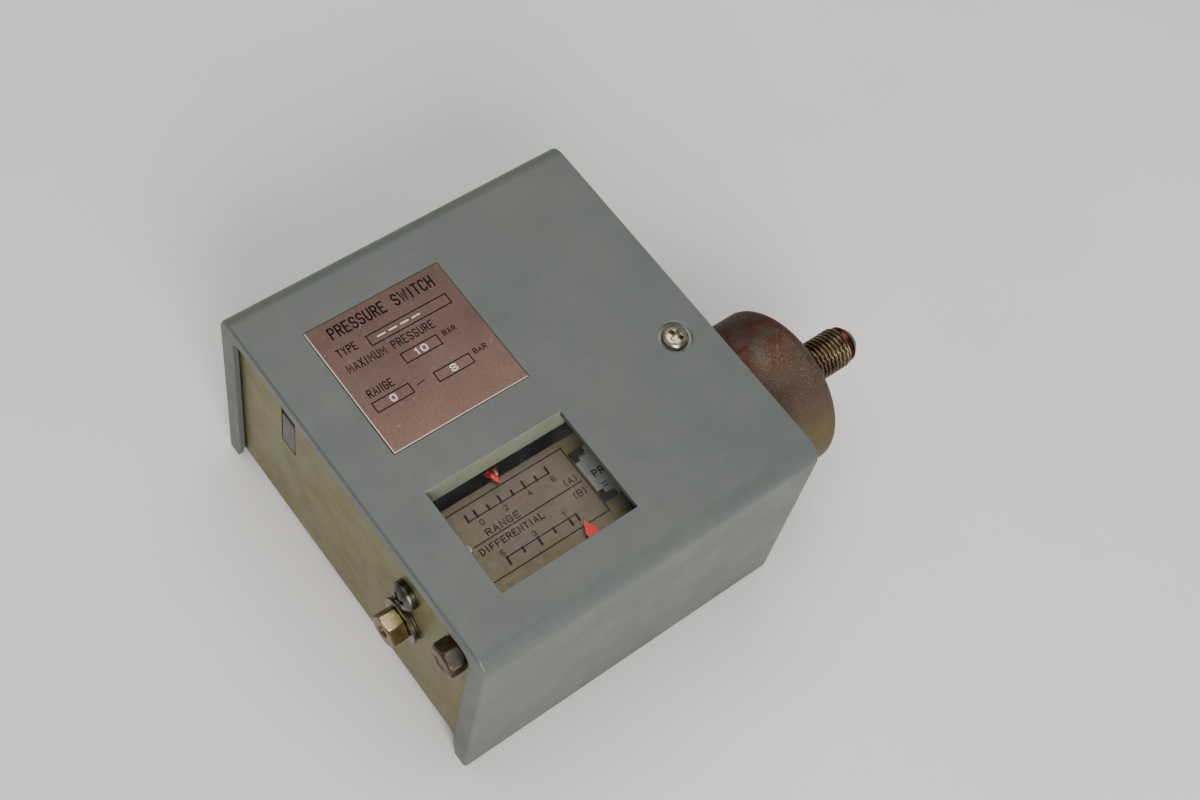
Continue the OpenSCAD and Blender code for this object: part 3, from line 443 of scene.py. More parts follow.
def soften(obj, width_mm, segments=2, degrees=30):
    """Rounds every edge that is sharper than an angle."""
    bevel = obj.modifiers.new("edges", "BEVEL")
    bevel.limit_method = "ANGLE"
    bevel.angle_limit = math.radians(degrees)
    bevel.width = width_mm * MM
    bevel.segments = segments
    bevel.miter_outer = "MITER_ARC"
    flats = obj.modifiers.new("flat faces stay flat", "WEIGHTED_NORMAL")
    flats.weight = 90
    flats.keep_sharp = True
    return obj


def belongs(obj, node, *others, replace=True):
    """The piece rides on a CAD node's body and stands for it."""
    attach(obj, BODY_OF[node])
    if replace:
        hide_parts(node, *others)
    return obj


def clean_copy(node):
    """A CAD node's mesh, welded, with its flat faces whole again, as a bmesh in metres."""
    bm = bmesh.new()
    bm.from_mesh(NODES[node].data)
    bmesh.ops.remove_doubles(bm, verts=bm.verts, dist=1e-6)
    bmesh.ops.dissolve_limit(bm, angle_limit=math.radians(0.4), verts=bm.verts, edges=bm.edges)
    return bm


def refine(node, name, material, width_mm=0.2, segments=2, degrees=30):
    """The CAD node's shape with rounded edges."""
    bm = clean_copy(node)
    mesh = bpy.data.meshes.new(name)
    bm.to_mesh(mesh)
    bm.free()
    made = dressed(name, mesh, material)
    soften(made, width_mm, segments, degrees)
    return belongs(made, node)


def ring(bm, x, radius, columns, axis):
    """One loop of vertices round an axis along X; radius is a number or a function of the angle."""
    loop = []
    for i in range(columns):
        a = 2 * math.pi * i / columns
        r = radius(a) if callable(radius) else radius
        loop.append(bm.verts.new((x, axis[0] + r * math.cos(a), axis[1] + r * math.sin(a))))
    return loop


def turned(bm, rows, columns, axis):
    """A closed surface through rows of (x, radius) round an axis along X, capped at both ends."""
    loops = [ring(bm, x, radius, columns, axis) for x, radius in rows]
    for a, b in zip(loops, loops[1:]):
        for i in range(columns):
            j = (i + 1) % columns
            bm.faces.new((a[i], a[j], b[j], b[i]))
    for loop, (x, _) in zip((loops[0], loops[-1]), (rows[0], rows[-1])):
        middle = bm.verts.new((x, axis[0], axis[1]))
        for i in range(columns):
            bm.faces.new((loop[i], loop[(i + 1) % columns], middle))


def turned_ring(bm, rows, columns, axis):
    """A closed surface whose rows of (x, radius) join up end to start, for pieces with a hole."""
    loops = [ring(bm, x, radius, columns, axis) for x, radius in rows]
    for a, b in zip(loops, loops[1:] + loops[:1]):
        for i in range(columns):
            j = (i + 1) % columns
            bm.faces.new((a[i], a[j], b[j], b[i]))


def hexagon(flats, turn=0.0, cap=0.99):
    """Radius of a hexagonal bar by angle, with its corners slightly worn."""
    def radius(a):
        away = (a - turn) % (math.pi / 3)
        off = min(away, math.pi / 3 - away)
        return min(flats / 2 / math.cos(off), flats / math.sqrt(3) * cap)
    return radius


def no_more_than(radius, limit):
    return lambda a: min(radius(a), limit)


def thread_rows(x0, x1, crest, depth, pitch, per_turn=12, fade_in=1.0, fade_out=1.0):
    """Rows of a right-handed thread along +X, faded out over its ends."""
    steps = max(2, int((x1 - x0) / pitch * per_turn))
    rows = []
    for i in range(steps + 1):
        x = x0 + (x1 - x0) * i / steps
        def radius(a, x=x):
            phase = (x / pitch - a / (2 * math.pi)) % 1.0
            ridge = min(1.0, max(0.0, 1.35 - abs(phase - 0.5) * 3.2))
            ends = min(1.0, (x - x0) / fade_in, (x1 - x) / fade_out)
            return crest - depth * (1 - ridge * max(0.0, ends) ** 0.5)
        rows.append((x, radius))
    return rows


def coil(bm, mean_r, wire_r, x0, x1, turns, axis, sides=12, steps=48):
    """A compression spring along X with one closed turn at each end."""
    closed = 2.05 * wire_r
    length = x1 - x0 - 2 * wire_r
    pitch = (length - 2 * closed) / (turns - 2)
    def along(u):
        if u < 1:
            return closed * u
        if u > turns - 1:
            return length - closed * (turns - u)
        return closed + pitch * (u - 1)
    loops = []
    for i in range(int(turns * steps) + 1):
        u = i / steps
        a = 2 * math.pi * u
        x = x0 + wire_r + along(u)
        loop = []
        for k in range(sides):
            b = 2 * math.pi * k / sides
            r = mean_r + wire_r * math.cos(b)
            loop.append(bm.verts.new((x + wire_r * math.sin(b), axis[0] + r * math.cos(a),
                                      axis[1] + r * math.sin(a))))
        loops.append(loop)
    for a, b in zip(loops, loops[1:]):
        for k in range(sides):
            m = (k + 1) % sides
            bm.faces.new((a[k], a[m], b[m], b[k]))
    bm.faces.new(loops[0])
    bm.faces.new(reversed(loops[-1]))


def blade_block(bm, low, high, top_low, top_high):
    """A tapered block between a lower and an upper rectangle, given as (x, y, z) corners."""
    corners = []
    for (x0, y0, z), (x1, y1, _) in ((low, high), (top_low, top_high)):
        corners.append([bm.verts.new(c) for c in
                        ((x0, y0, z), (x1, y0, z), (x1, y1, z), (x0, y1, z))])
    bottom, top = corners
    bm.faces.new(reversed(bottom))
    bm.faces.new(top)
    for i in range(4):
        j = (i + 1) % 4
        bm.faces.new((bottom[i], bottom[j], top[j], top[i]))


def pan_screw(name, material, head_r, head_h, shank_r, shank_l, pitch=0.7):
    """A cross-recessed pan-head screw along +X, its head's seat at x = 0, at the origin."""
    bm = bmesh.new()
    dome = [(-shank_l, 0.55 * shank_r), (-shank_l + 0.5, shank_r * 0.9)]
    dome += thread_rows(-shank_l + 0.6, -0.7, shank_r, 0.3, pitch, 10)
    dome += [(-0.6, shank_r * 0.86), (0, shank_r * 0.86), (0, head_r * 0.97), (0.12, head_r)]
    for i in range(13):
        a = math.pi / 2 * i / 12
        dome.append((head_h * (0.38 + 0.62 * math.sin(a)),
                     head_r * (0.30 + 0.70 * math.cos(a) ** 0.8)))
    dome.append((head_h, head_r * 0.15))
    turned(bm, dome, 64, (0, 0))
    body = object_of(name, bm, material)
    bm = bmesh.new()
    for turn in (0, 1):
        wing, thick = head_r * 0.68, head_r * 0.19
        def corner(s, t, x):
            return (s, t, x) if turn == 0 else (t, s, x)
        half, thin = wing * 0.35, thick * 0.8
        top = head_h + 0.3
        blade_block(bm, corner(-half, -thin, head_h * 0.28), corner(half, thin, head_h * 0.28),
                    corner(-wing, -thick, top), corner(wing, thick, top))
    cutter = object_of(name + "_recess", bm, material)
    cutter.data.transform(Matrix.Rotation(math.pi / 2, 4, "Y"))
    bpy.context.view_layer.update()
    return carve(body, cutter)


def carve(body, cutter):
    """Cuts one mesh out of another for good."""
    cutter_mesh = cutter.data
    cut = body.modifiers.new("cut", "BOOLEAN")
    cut.operation = "DIFFERENCE"
    cut.solver = "EXACT"
    cut.use_self = True
    cut.object = cutter
    evaluated = body.evaluated_get(bpy.context.evaluated_depsgraph_get())
    result = bpy.data.meshes.new_from_object(evaluated)
    body.modifiers.clear()
    old = body.data
    result.name = old.name + "_cut"
    body.data = result
    bpy.data.meshes.remove(old)
    bpy.data.objects.remove(cutter)
    bpy.data.meshes.remove(cutter_mesh)
    return crease(body, 40)


# Lettering as strokes on a grid 4 wide and 6 high: each pair of digits is a point, and a
# slash starts a new stroke
STROKES = {
    "A": "00 26 40/12 32", "B": "00 06 36 45 44 33 03/33 42 41 30 00",
    "C": "45 36 16 05 01 10 30 41", "D": "00 06 26 44 42 20 00", "E": "46 06 00 40/03 33",
    "F": "46 06 00/03 33", "G": "45 36 16 05 01 10 30 41 43 23", "H": "00 06/40 46/03 43",
    "I": "26 20", "L": "06 00 40", "M": "00 06 22 46 40", "N": "00 06 40 46",
    "P": "00 06 36 45 44 33 03", "R": "00 06 36 45 44 33 03/23 40",
    "S": "45 36 16 05 04 13 33 42 41 30 10 01", "T": "06 46/26 20", "U": "06 01 10 30 41 46",
    "W": "06 10 25 30 46", "X": "00 46/06 40", "Y": "06 23 46/23 20",
    "0": "10 01 05 16 36 45 41 30 10", "1": "15 26 20", "2": "05 16 36 45 44 00 40",
    "3": "05 16 36 45 44 33 42 41 30 10 01", "4": "30 36 02 42",
    "5": "46 06 03 33 42 41 30 10 01", "6": "45 36 16 05 01 10 30 41 42 33 03",
    "(": "36 25 21 30", ")": "16 25 21 10", "-": "03 43", "=": "02 42/04 44", " ": "",
}
# Letters that aren't 4 grid steps wide
NARROW = 2.0
LETTER_WIDTHS = {"I": NARROW, "1": NARROW, "(": NARROW, ")": NARROW, "M": 5.2, "W": 5.6}
LETTER_GAP = 2.6
# Strokes that cross lie a hair above each other, so no two faces share a plane
STROKE_LAYERS = 5
STROKE_LAYER_H = 0.002


class Print:
    """Flat printing on a plate: letters and lines as thin raised strokes."""

    def __init__(self, z, thickness=0.03):
        self.bm = bmesh.new()
        self.z = z
        self.thickness = thickness
        self.layer = 0

    def stroke(self, points, width):
        """A mitred stroke through points; one that ends where it starts is closed."""
        points = [Vector(p) for p in points]
        closed = points[0] == points[-1]
        if closed:
            points.pop()
        count = len(points)
        sides = []
        for i, p in enumerate(points):
            before = points[i - 1] if closed or i > 0 else None
            after = points[(i + 1) % count] if closed or i < count - 1 else None
            into = (p - before).normalized() if before is not None else (after - p).normalized()
            out = (after - p).normalized() if after is not None else into
            across = Vector((-into.y - out.y, into.x + out.x)).normalized()
            reach = width / 2 / max(0.5, across.dot(Vector((-into.y, into.x))))
            cap = Vector((0, 0))
            if before is None:
                cap = -into * width / 2
            elif after is None:
                cap = out * width / 2
            sides.append((p + cap + across * reach, p + cap - across * reach))
        self.layer = (self.layer + 1) % STROKE_LAYERS
        top = self.z + self.thickness + STROKE_LAYER_H * self.layer
        rows = [[self.bm.verts.new((q.x, q.y, z)) for q, z in
                 ((a, self.z), (b, self.z), (b, top), (a, top))] for a, b in sides]
        for i in range(count if closed else count - 1):
            j = (i + 1) % count
            for k in range(4):
                m = (k + 1) % 4
                self.bm.faces.new((rows[i][k], rows[i][m], rows[j][m], rows[j][k]))
        if not closed:
            self.bm.faces.new(reversed(rows[0]))
            self.bm.faces.new(rows[-1])

    def line(self, x0, y0, x1, y1, width):
        self.stroke(((x0, y0), (x1, y1)), width)

    def box(self, x0, y0, x1, y1, width):
        self.stroke(((x0, y0), (x1, y0), (x1, y1), (x0, y1), (x0, y0)), width)

    def words(self, text, x0, x1, y0, height, width=0.3):
        """Lettering fitted between x0 and x1, standing on y0."""
        wide = [LETTER_WIDTHS.get(letter, 4.0) for letter in text]
        unit = (x1 - x0 - width) / (sum(wide) + LETTER_GAP * (len(text) - 1))
        rise = (height - width) / 6
        x = x0 + width / 2
        for letter, letter_w in zip(text, wide):
            shift = 1 if letter_w == NARROW else 0
            spread = max(1.0, letter_w / 4)
            for path in filter(None, STROKES[letter].split("/")):
                self.stroke([(x + (int(p[0]) - shift) * spread * unit,
                              y0 + width / 2 + int(p[1]) * rise) for p in path.split()], width)
            x += (letter_w + LETTER_GAP) * unit

    def done(self, name, material):
        return object_of(name, self.bm, material, smooth=False)


# ---------------------------------------------------------------- camera
# Point looked at, direction of view, tilt and distance
AIM = Vector((26.0, -2.85, 35.0)) * MM
VIEW_AZIMUTH = math.radians(39.30)
VIEW_DOWN = math.radians(59.26)
VIEW_ROLL = math.radians(15.41)
VIEW_DISTANCE = 449.2 * MM
FOCAL_LENGTH = 53.42

forward = Vector((math.cos(VIEW_DOWN) * math.cos(VIEW_AZIMUTH),
                  math.cos(VIEW_DOWN) * math.sin(VIEW_AZIMUTH), -math.sin(VIEW_DOWN)))
level_right = forward.cross(Vector((0, 0, 1))).normalized()
level_up = level_right.cross(forward)
right = level_right * math.cos(VIEW_ROLL) + level_up * math.sin(VIEW_ROLL)
up = right.cross(forward)
camera_data = bpy.data.cameras.new("camera")
camera_data.lens = FOCAL_LENGTH
camera_data.sensor_width = 36
camera_data.clip_start = 0.02
camera_data.clip_end = 20
camera = bpy.data.objects.new("camera", camera_data)
camera.matrix_world = Matrix.Translation(AIM - forward * VIEW_DISTANCE) @ Matrix(
    (right, up, -forward)).transposed().to_4x4()
bpy.context.scene.collection.objects.link(camera)
bpy.context.scene.camera = camera


# ---------------------------------------------------------------- cover
def make_cover():
    """The cover and its pane; the open end's outer rim is rounded more than other edges."""
    rim_r, tiny, seat_r = 0.9 * MM, 0.02 * MM, 4.6
    # Where the cover's tongue hangs behind the slot in the end plate
    tongue_low, tongue_high = Vector((-46.7, 24.4, 37.9)), Vector((-43.2, 29.7, 50.7))
    bm = clean_copy("cover")
    end = COVER_LOW.x * MM
    half = COVER_HIGH.y * MM
    def on_rim(v):
        if abs(v.co.x - end) > tiny:
            return False
        corner_y, corner_z = half - COVER_EDGE_R * MM, FACE_Z * MM - COVER_EDGE_R * MM
        y, z = abs(v.co.y), v.co.z
        if z < corner_z:
            return abs(y - half) < tiny
        if y < corner_y:
            return abs(z - FACE_Z * MM) < tiny
        return abs(math.hypot(y - corner_y, z - corner_z) - COVER_EDGE_R * MM) < 0.03 * MM
    rim = [e for e in bm.edges if all(on_rim(v) for v in e.verts)]
    bmesh.ops.bevel(bm, geom=rim, offset=rim_r, offset_type="OFFSET", segments=5, profile=0.5,
                    affect="EDGES", clamp_overlap=False)
    mesh = bpy.data.meshes.new("cover_shell")
    bm.to_mesh(mesh)
    bm.free()
    shell = dressed("cover_shell", mesh, "cover")
    pane_low, pane_high = span("window_pane")
    def on_rib(face):
        centre = face.center / MM
        return (face.normal.y < -0.9 and centre.z < FACE_Z - 2.2
                and abs(centre.y - pane_high.y) < 2
                and pane_low.x - 2 < centre.x < pane_high.x + 2)
    # The rib under the window gets a lighter copy of the cover grey: painted light.
    repaint(shell, "rib_painted_light", on_rib)
    # The tongue gets a darker copy of the cover grey: painted shade in the end plate's slot.
    repaint(shell, "tongue", lambda face: all(
        tongue_low[i] < face.center[i] / MM < tongue_high[i] for i in range(3)))
    seat = (span("cover_screw")[0] + span("cover_screw")[1]) / 2
    # The screw's recess gets a lighter copy of the cover grey: painted light against its shade.
    repaint(shell, "screw_seat_painted_light", lambda face: (face.center.xy / MM - seat.xy).length < seat_r
            and face.center.z / MM < FACE_Z - 0.1)
    soften(shell, 0.25, 2, 32)
    belongs(shell, "cover")
    refine("window_pane", "window_glass", "glass", 0.1, 1)


def make_nameplate():
    refine("nameplate", "nameplate_sheet", "nameplate", 0.08, 2)
    low, high = span("nameplate")
    x, y = low.x, low.y
    print_z = high.z - PRINT_SINK
    p = Print(print_z)
    p.words("PRESSURE SWITCH", x + 4.8, x + 33.8, y + 32.4, 3.4, 0.42)
    p.words("TYPE", x + 3.5, x + 8.7, y + 27.5, 2.3, 0.29)
    p.box(x + 11.7, y + 26.4, x + 34.2, y + 29.3, 0.28)
    p.words("MAXIMUM PRESSURE", x + 3.2, x + 27.2, y + 22.8, 2.4, 0.27)
    p.box(x + 15.8, y + 18.1, x + 25.8, y + 21.0, 0.28)
    p.words("BAR", x + 27.4, x + 31.0, y + 19.6, 1.5, 0.22)
    p.words("RANGE", x + 3.4, x + 10.3, y + 14.8, 2.3, 0.29)
    p.box(x + 2.9, y + 10.8, x + 12.9, y + 13.6, 0.28)
    p.line(x + 14.6, y + 12.0, x + 16.6, y + 12.3, 0.22)
    p.box(x + 19.4, y + 9.9, x + 29.3, y + 12.7, 0.28)
    p.words("BAR", x + 30.6, x + 34.2, y + 11.6, 1.5, 0.22)
    belongs(p.done("nameplate_print", "ink"), "nameplate", replace=False)
    stamped = Print(print_z)
    stamped.words("10", x + 19.2, x + 22.4, y + 18.6, 1.9, 0.34)
    stamped.words("0", x + 7.2, x + 8.8, y + 11.3, 1.9, 0.34)
    stamped.words("6", x + 23.4, x + 25.2, y + 10.4, 1.9, 0.34)
    stamped.words("----", x + 14.0, x + 26.0, y + 26.9, 1.9, 0.34)
    belongs(stamped.done("nameplate_stamping", "stamped"), "nameplate", replace=False)


def make_cover_screw():
    low, high = span("cover_screw")
    seat_z, head_r, head_h, shank_r, shank_l = 62.15, 3.35, 2.1, 1.9, 9.5
    screw = pan_screw("cover_screw_head", "cover_screw", head_r, head_h, shank_r, shank_l)
    screw.data.transform(Matrix.Rotation(math.radians(-90), 4, "Y"))
    screw.data.transform(Matrix.Rotation(math.radians(24), 4, "Z"))
    centre = (low + high) / 2
    screw.data.transform(Matrix.Translation(Vector((centre.x, centre.y, seat_z)) * MM))
    belongs(screw, "cover_screw")


# ---------------------------------------------------------------- pressure side
def make_cup():
    low, high = span("bellows_cup")
    x0, x1 = low.x, high.x
    radius, wall, end_r, shoulder, flange_r = 21.7, 1.5, 10.0, 6.0, 26.0
    def oval(r, length, depth, steps=20):
        quarters = [math.pi / 2 * i / steps for i in range(steps + 1)]
        return [(x0 + length - depth + depth * math.sin(a), end_r + (r - end_r) * math.cos(a))
                for a in quarters]
    length = x1 - x0
    fitting_r = 5.6
    rows = [(x0, radius - wall), (x0, flange_r - 0.3), (x0 + 0.3, flange_r),
            (x0 + wall - 0.3, flange_r), (x0 + wall, flange_r - 0.3), (x0 + wall, radius + 1.1),
            (x0 + wall + 0.32, radius + 0.32), (x0 + wall + 1.1, radius), (x0 + 12, radius)]
    rows += oval(radius, length, shoulder)
    rows += [(x1, 8.0), (x1, fitting_r), (x1 - wall, fitting_r), (x1 - wall, 8.0)]
    rows += reversed(oval(radius - wall, length - wall, shoulder - 0.4))
    rows += [(x0 + 12, radius - wall)]
    bm = bmesh.new()
    turned_ring(bm, rows, 128, RANGE_AXIS)
    belongs(crease(object_of("cup_shell", bm, "cup"), 40), "bellows_cup")


def make_fitting():
    low, high = span("flare_fitting")
    cup_x1 = span("bellows_cup")[1].x
    collar_r, flange_r, thread_r, bore_r = 7.0, 8.0, FLARE_THREAD_R, PRESSURE_BORE_R
    thread_x0, thread_x1 = cup_x1 + 1.5, cup_x1 + 17.0
    nose_x1 = high.x
    root_r = thread_r - 0.75
    rows = [(low.x, bore_r), (low.x, flange_r - 0.2), (low.x + 0.2, flange_r),
            (low.x + 1.3, flange_r), (low.x + 1.5, flange_r - 0.2), (low.x + 1.5, thread_r),
            (cup_x1 - 0.01, thread_r), (cup_x1, collar_r - 0.1), (cup_x1 + 0.3, collar_r),
            (cup_x1 + 1.0, collar_r - 0.15), (cup_x1 + 1.4, collar_r - 0.8),
            (thread_x0, root_r), (thread_x0 + 0.5, root_r)]
    rows += thread_rows(thread_x0 + 0.6, thread_x1, thread_r, 0.72, FLARE_PITCH, 14, 1.2, 0.9)
    nose_x0 = thread_x1 + 0.1
    rows += [(nose_x0, 4.85), (nose_x0 + 0.35, 4.8), (nose_x0 + 0.6, 5.0), (nose_x0 + 1.2, 5.0),
             (nose_x0 + 1.5, 4.85), (nose_x1 - 0.35, 3.65), (nose_x1 - 0.1, 3.4), (nose_x1, 3.1),
             (nose_x1, bore_r + 0.25), (nose_x1 - 0.3, bore_r)]
    bm = bmesh.new()
    turned_ring(bm, rows, 144, RANGE_AXIS)
    made = crease(object_of("flare_connection", bm, "flare"), 50)
    repaint(made, "nose", lambda face: face.center.x > nose_x0 * MM)
    # Painted highlight on the collar between the cup and the thread.
    repaint(made, "brass_highlight", lambda face: cup_x1 * MM < face.center.x < thread_x0 * MM)
    belongs(made, "flare_fitting")


def make_bellows():
    low, high = span("bellows")
    waves, wall, inner, outer = 9, 0.35, 11.2, 14.95
    steps = waves * 14
    def curve(i, inset):
        x = low.x + 0.2 + (high.x - low.x - 0.4) * i / steps
        swing = 0.5 - 0.5 * math.cos(2 * math.pi * waves * i / steps)
        return (x, inner + inset + (outer - inner - inset) * swing)
    rows = [curve(i, 0) for i in range(steps + 1)]
    back = [(x, r - wall) for x, r in reversed(rows)]
    bm = bmesh.new()
    turned_ring(bm, rows + back, 96, RANGE_AXIS)
    made = object_of("bellows_folds", bm, "bronze")
    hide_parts("bellows")
    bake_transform(made)


# ---------------------------------------------------------------- adjusters
def make_adjuster(node, name, material, flat_material, axis, turn, bright_flat, bore_r):
    """Adjusting screw: a worn hexagon outside the end plate and a threaded shank inside.

    bright_flat is the angle that the one flat with its own paint faces: a painted highlight on the
    range hexagon's top flat, the worn flat on the differential hexagon. A bore_r of 0 gives a
    closed end.
    """
    low, high = span(node)
    plate_x = span("chassis")[0].x
    half = HEX_FLATS / 2
    hex_x0, hex_x1 = low.x, low.x + HEX_LENGTH
    shape = hexagon(HEX_FLATS, turn)
    if bore_r:
        rows = [(hex_x0 + 1.5, bore_r * 0.9), (hex_x0 + 0.35, bore_r),
                (hex_x0 + 0.02, bore_r + 0.35), (hex_x0, half * 0.88),
                (hex_x0 + 0.10, no_more_than(shape, half * 1.02)),
                (hex_x0 + 0.28, no_more_than(shape, half * 1.10)), (hex_x0 + 0.45, shape)]
    else:
        rows = [(hex_x0 + 0.30, 1.9), (hex_x0 + 0.10, 2.25), (hex_x0 + 0.02, half * 0.80),
                (hex_x0 + 0.06, half * 0.88), (hex_x0 + 0.45, no_more_than(shape, half * 1.03)),
                (hex_x0 + 0.80, no_more_than(shape, half * 1.10)), (hex_x0 + 1.1, shape)]
    rows += [(hex_x1 - 0.25, shape), (hex_x1 - 0.1, no_more_than(shape, half * 1.10)),
             (hex_x1, no_more_than(shape, half * 1.02)), (hex_x1 + 0.02, SCREW_R)]
    bm = bmesh.new()
    turned(bm, rows, 120, axis)
    groove_x = plate_x + 1.9
    shank = [(hex_x1 - 0.4, SCREW_R), (groove_x, SCREW_R), (groove_x, SCREW_R - 0.4),
             (groove_x + 0.9, SCREW_R - 0.4), (groove_x + 0.9, SCREW_R), (groove_x + 1.6, SCREW_R)]
    shank += thread_rows(groove_x + 2.0, high.x - 0.4, SCREW_R, 0.55, THREAD_PITCH,
                         10, 1.5, 0.8)
    shank += [(high.x - 0.1, SCREW_R - 0.6), (high.x, SCREW_R - 0.8)]
    turned(bm, shank, 60, axis)
    made = crease(object_of(name, bm, material), 20)
    facing = Vector((0, math.cos(bright_flat), math.sin(bright_flat)))
    repaint(made, flat_material, lambda face: face.normal.dot(facing) > 0.995
            and face.center.x < hex_x1 * MM)
    belongs(made, node)


def repaint(obj, material, wanted):
    """Gives a second material to the faces that pass a test."""
    obj.data.materials.append(PAINTS[material])
    last = len(obj.data.materials) - 1
    for face in obj.data.polygons:
        if wanted(face):
            face.material_index = last


def make_coil(node, name, mean_r, wire_r, turns, axis, room):
    """A spring mesh along its CAD node, fixed in place; its far end leaves room for its seat to
    move.
    """
    low, high = span(node)
    bm = bmesh.new()
    coil(bm, mean_r, wire_r, low.x, high.x - room, turns, axis)
    made = object_of(name, bm, "spring")
    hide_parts(node)
    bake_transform(made)


def make_washer():
    """Flat washer with a spring washer behind it."""
    low, high = span("range_washer")
    r, bore, split = high.y - RANGE_AXIS.x - 0.4, SCREW_R + 0.15, low.x + 0.95
    rows = [(low.x, bore), (low.x, r - 0.15), (low.x + 0.12, r), (split - 0.12, r),
            (split, r - 0.15), (split, r - 0.9), (split + 0.12, r - 0.9),
            (split + 0.12, r - 0.35), (split + 0.2, r - 0.25), (high.x - 0.08, r - 0.25),
            (high.x, r - 0.35), (high.x, bore)]
    bm = bmesh.new()
    turned_ring(bm, rows, 80, RANGE_AXIS)
    belongs(crease(object_of("range_washers", bm, "washer"), 30), "range_washer")


def make_grommet():
    low, high = span("cable_grommet")
    centre = ((low + high) / 2).yz
    plate = span("end_plate")[1].x
    inner, seat, rim = 6.0, 10.0, 12.5
    plate_t = 1.6
    rows = [(low.x, inner + 0.5), (low.x, rim - 1.2), (low.x + 0.35, rim - 0.35),
            (low.x + 1.2, rim - 0.05), (plate - plate_t, rim), (plate - plate_t, seat),
            (plate, seat), (plate, rim), (plate + 0.8, rim - 0.1), (high.x - 0.6, rim - 2.0),
            (high.x - 0.1, rim - 4.0), (high.x, inner + 0.9), (high.x - 0.3, inner + 0.25),
            (high.x - 1.0, inner), (low.x + 0.6, inner)]
    bm = bmesh.new()
    turned_ring(bm, rows, 96, centre)
    belongs(crease(object_of("grommet_ring", bm, "rubber"), 60), "cable_grommet")


def make_bracket_screw():
    low, high = span("bracket_screw")
    head_r, head_h, shank_r, shank_l = 3.9, 3.0, 1.9, 6.0
    screw = pan_screw("bracket_screw_head", "oily", head_r, head_h, shank_r, shank_l)
    screw.data.transform(Matrix.Rotation(math.radians(35), 4, "X"))
    screw.data.transform(Matrix.Rotation(math.pi, 4, "Z"))
    centre = (low + high) / 2
    seat_x = span("chassis")[0].x
    screw.data.transform(Matrix.Translation(Vector((seat_x, centre.y, centre.z)) * MM))
    belongs(screw, "bracket_screw")


# ---------------------------------------------------------------- scale
def make_scale():
    refine("scale_plate", "scale_sheet", "scale", 0.08, 2)
    refine("label_plate", "label_sheet", "label", 0.06, 1)
    p = Print(span("scale_plate")[1].z - PRINT_SINK)
    right_x, left_x, top_y, low_y = 1.1, -43.8, -15.5, -34.7
    thin, thick, lean = 0.30, 0.60, 0.1
    long_tick, short_tick = (1.7, 1.8), 1.1
    for x0, y0, x1, y1 in ((left_x, top_y, right_x, top_y), (left_x, low_y, right_x, low_y),
                           (right_x, low_y, right_x, top_y), (-30.5, -25.2, 0.2, -25.1)):
        p.line(x0, y0, x1, y1, thin)
    # Upper scale, 0 to 6, with one more tick before its 0
    base_a, start_a, zero_a, end_a = -19.25, -27.9, -25.4, -5.1
    p.line(start_a, base_a, end_a, base_a, thin)
    step = (end_a - zero_a) / 6
    p.line(start_a, base_a, start_a + lean, base_a + long_tick[0], thick)
    for i in range(7):
        x = zero_a + i * step
        p.line(x, base_a, x + lean, base_a + (short_tick if i % 2 else long_tick[0]), thick)
        if i % 2 == 0:
            p.words(str(i), x - 0.5, x + 0.6, -21.7, 1.5, 0.22)
    for text, x0, x1, y0, height, width in (
            ("RANGE", -26.2, -16.9, -24.65, 1.85, 0.30),
            ("DIFFERENTIAL", -30.2, -12.4, -28.05, 1.85, 0.30),
            ("(A)", -3.9, -0.1, -24.5, 1.9, 0.25), ("(B)", -3.9, -0.2, -28.3, 1.9, 0.25)):
        p.words(text, x0, x1, y0, height, width)
    # Lower scale, 5 to 1, with one more tick after its 1
    base_b, five_b, one_b, end_b = -31.2, -25.8, -8.2, -6.15
    p.line(five_b, base_b, end_b, base_b, thin)
    step = (one_b - five_b) / 4
    for i in range(5):
        x = five_b + i * step
        p.line(x, base_b, x - lean, base_b - (short_tick if i % 2 else long_tick[1]), thick)
        if i % 2 == 0:
            p.words(str(5 - i), x - 0.6, x + 0.5, -30.5, 1.4, 0.22)
    p.line(end_b, base_b, end_b - lean, base_b - long_tick[0], thick)
    belongs(p.done("scale_print", "scale_ink"), "scale_plate", replace=False)
    q = Print(span("label_plate")[1].z - PRINT_SINK)
    q.words("PR", 3.4, 6.6, -26.2, 2.0, 0.34)
    for y in (-28.3, -29.1):
        q.line(3.7, y, 5.0, y, 0.26)
    belongs(q.done("label_print", "scale_ink"), "label_plate", replace=False)
    # Black strokes that fill the label's two notches: painted shade in the gaps
    low, high = span("label_plate")
    notch_shade = Print(low.z, high.z - low.z + 0.02)
    notch_shade_w = 1.5
    stem_x, bar_x = low.x + notch_shade_w / 2, low.x + 3.9 - notch_shade_w / 2
    for corner_y, inward in ((low.y, 1), (high.y, -1)):
        bar_y = corner_y + inward * notch_shade_w / 2
        notch_shade.stroke(((stem_x, bar_y + inward * 1.5), (stem_x, bar_y), (bar_x, bar_y)), notch_shade_w)
    belongs(notch_shade.done("label_notch_painted_shade", "ink"), "label_plate", replace=False)


def make_pointers():
    refine("range_pointer", "range_pointer_arm", "red_metal", 0.08, 2)
    refine("differential_pointer", "differential_pointer_arm", "red", 0.08, 2)


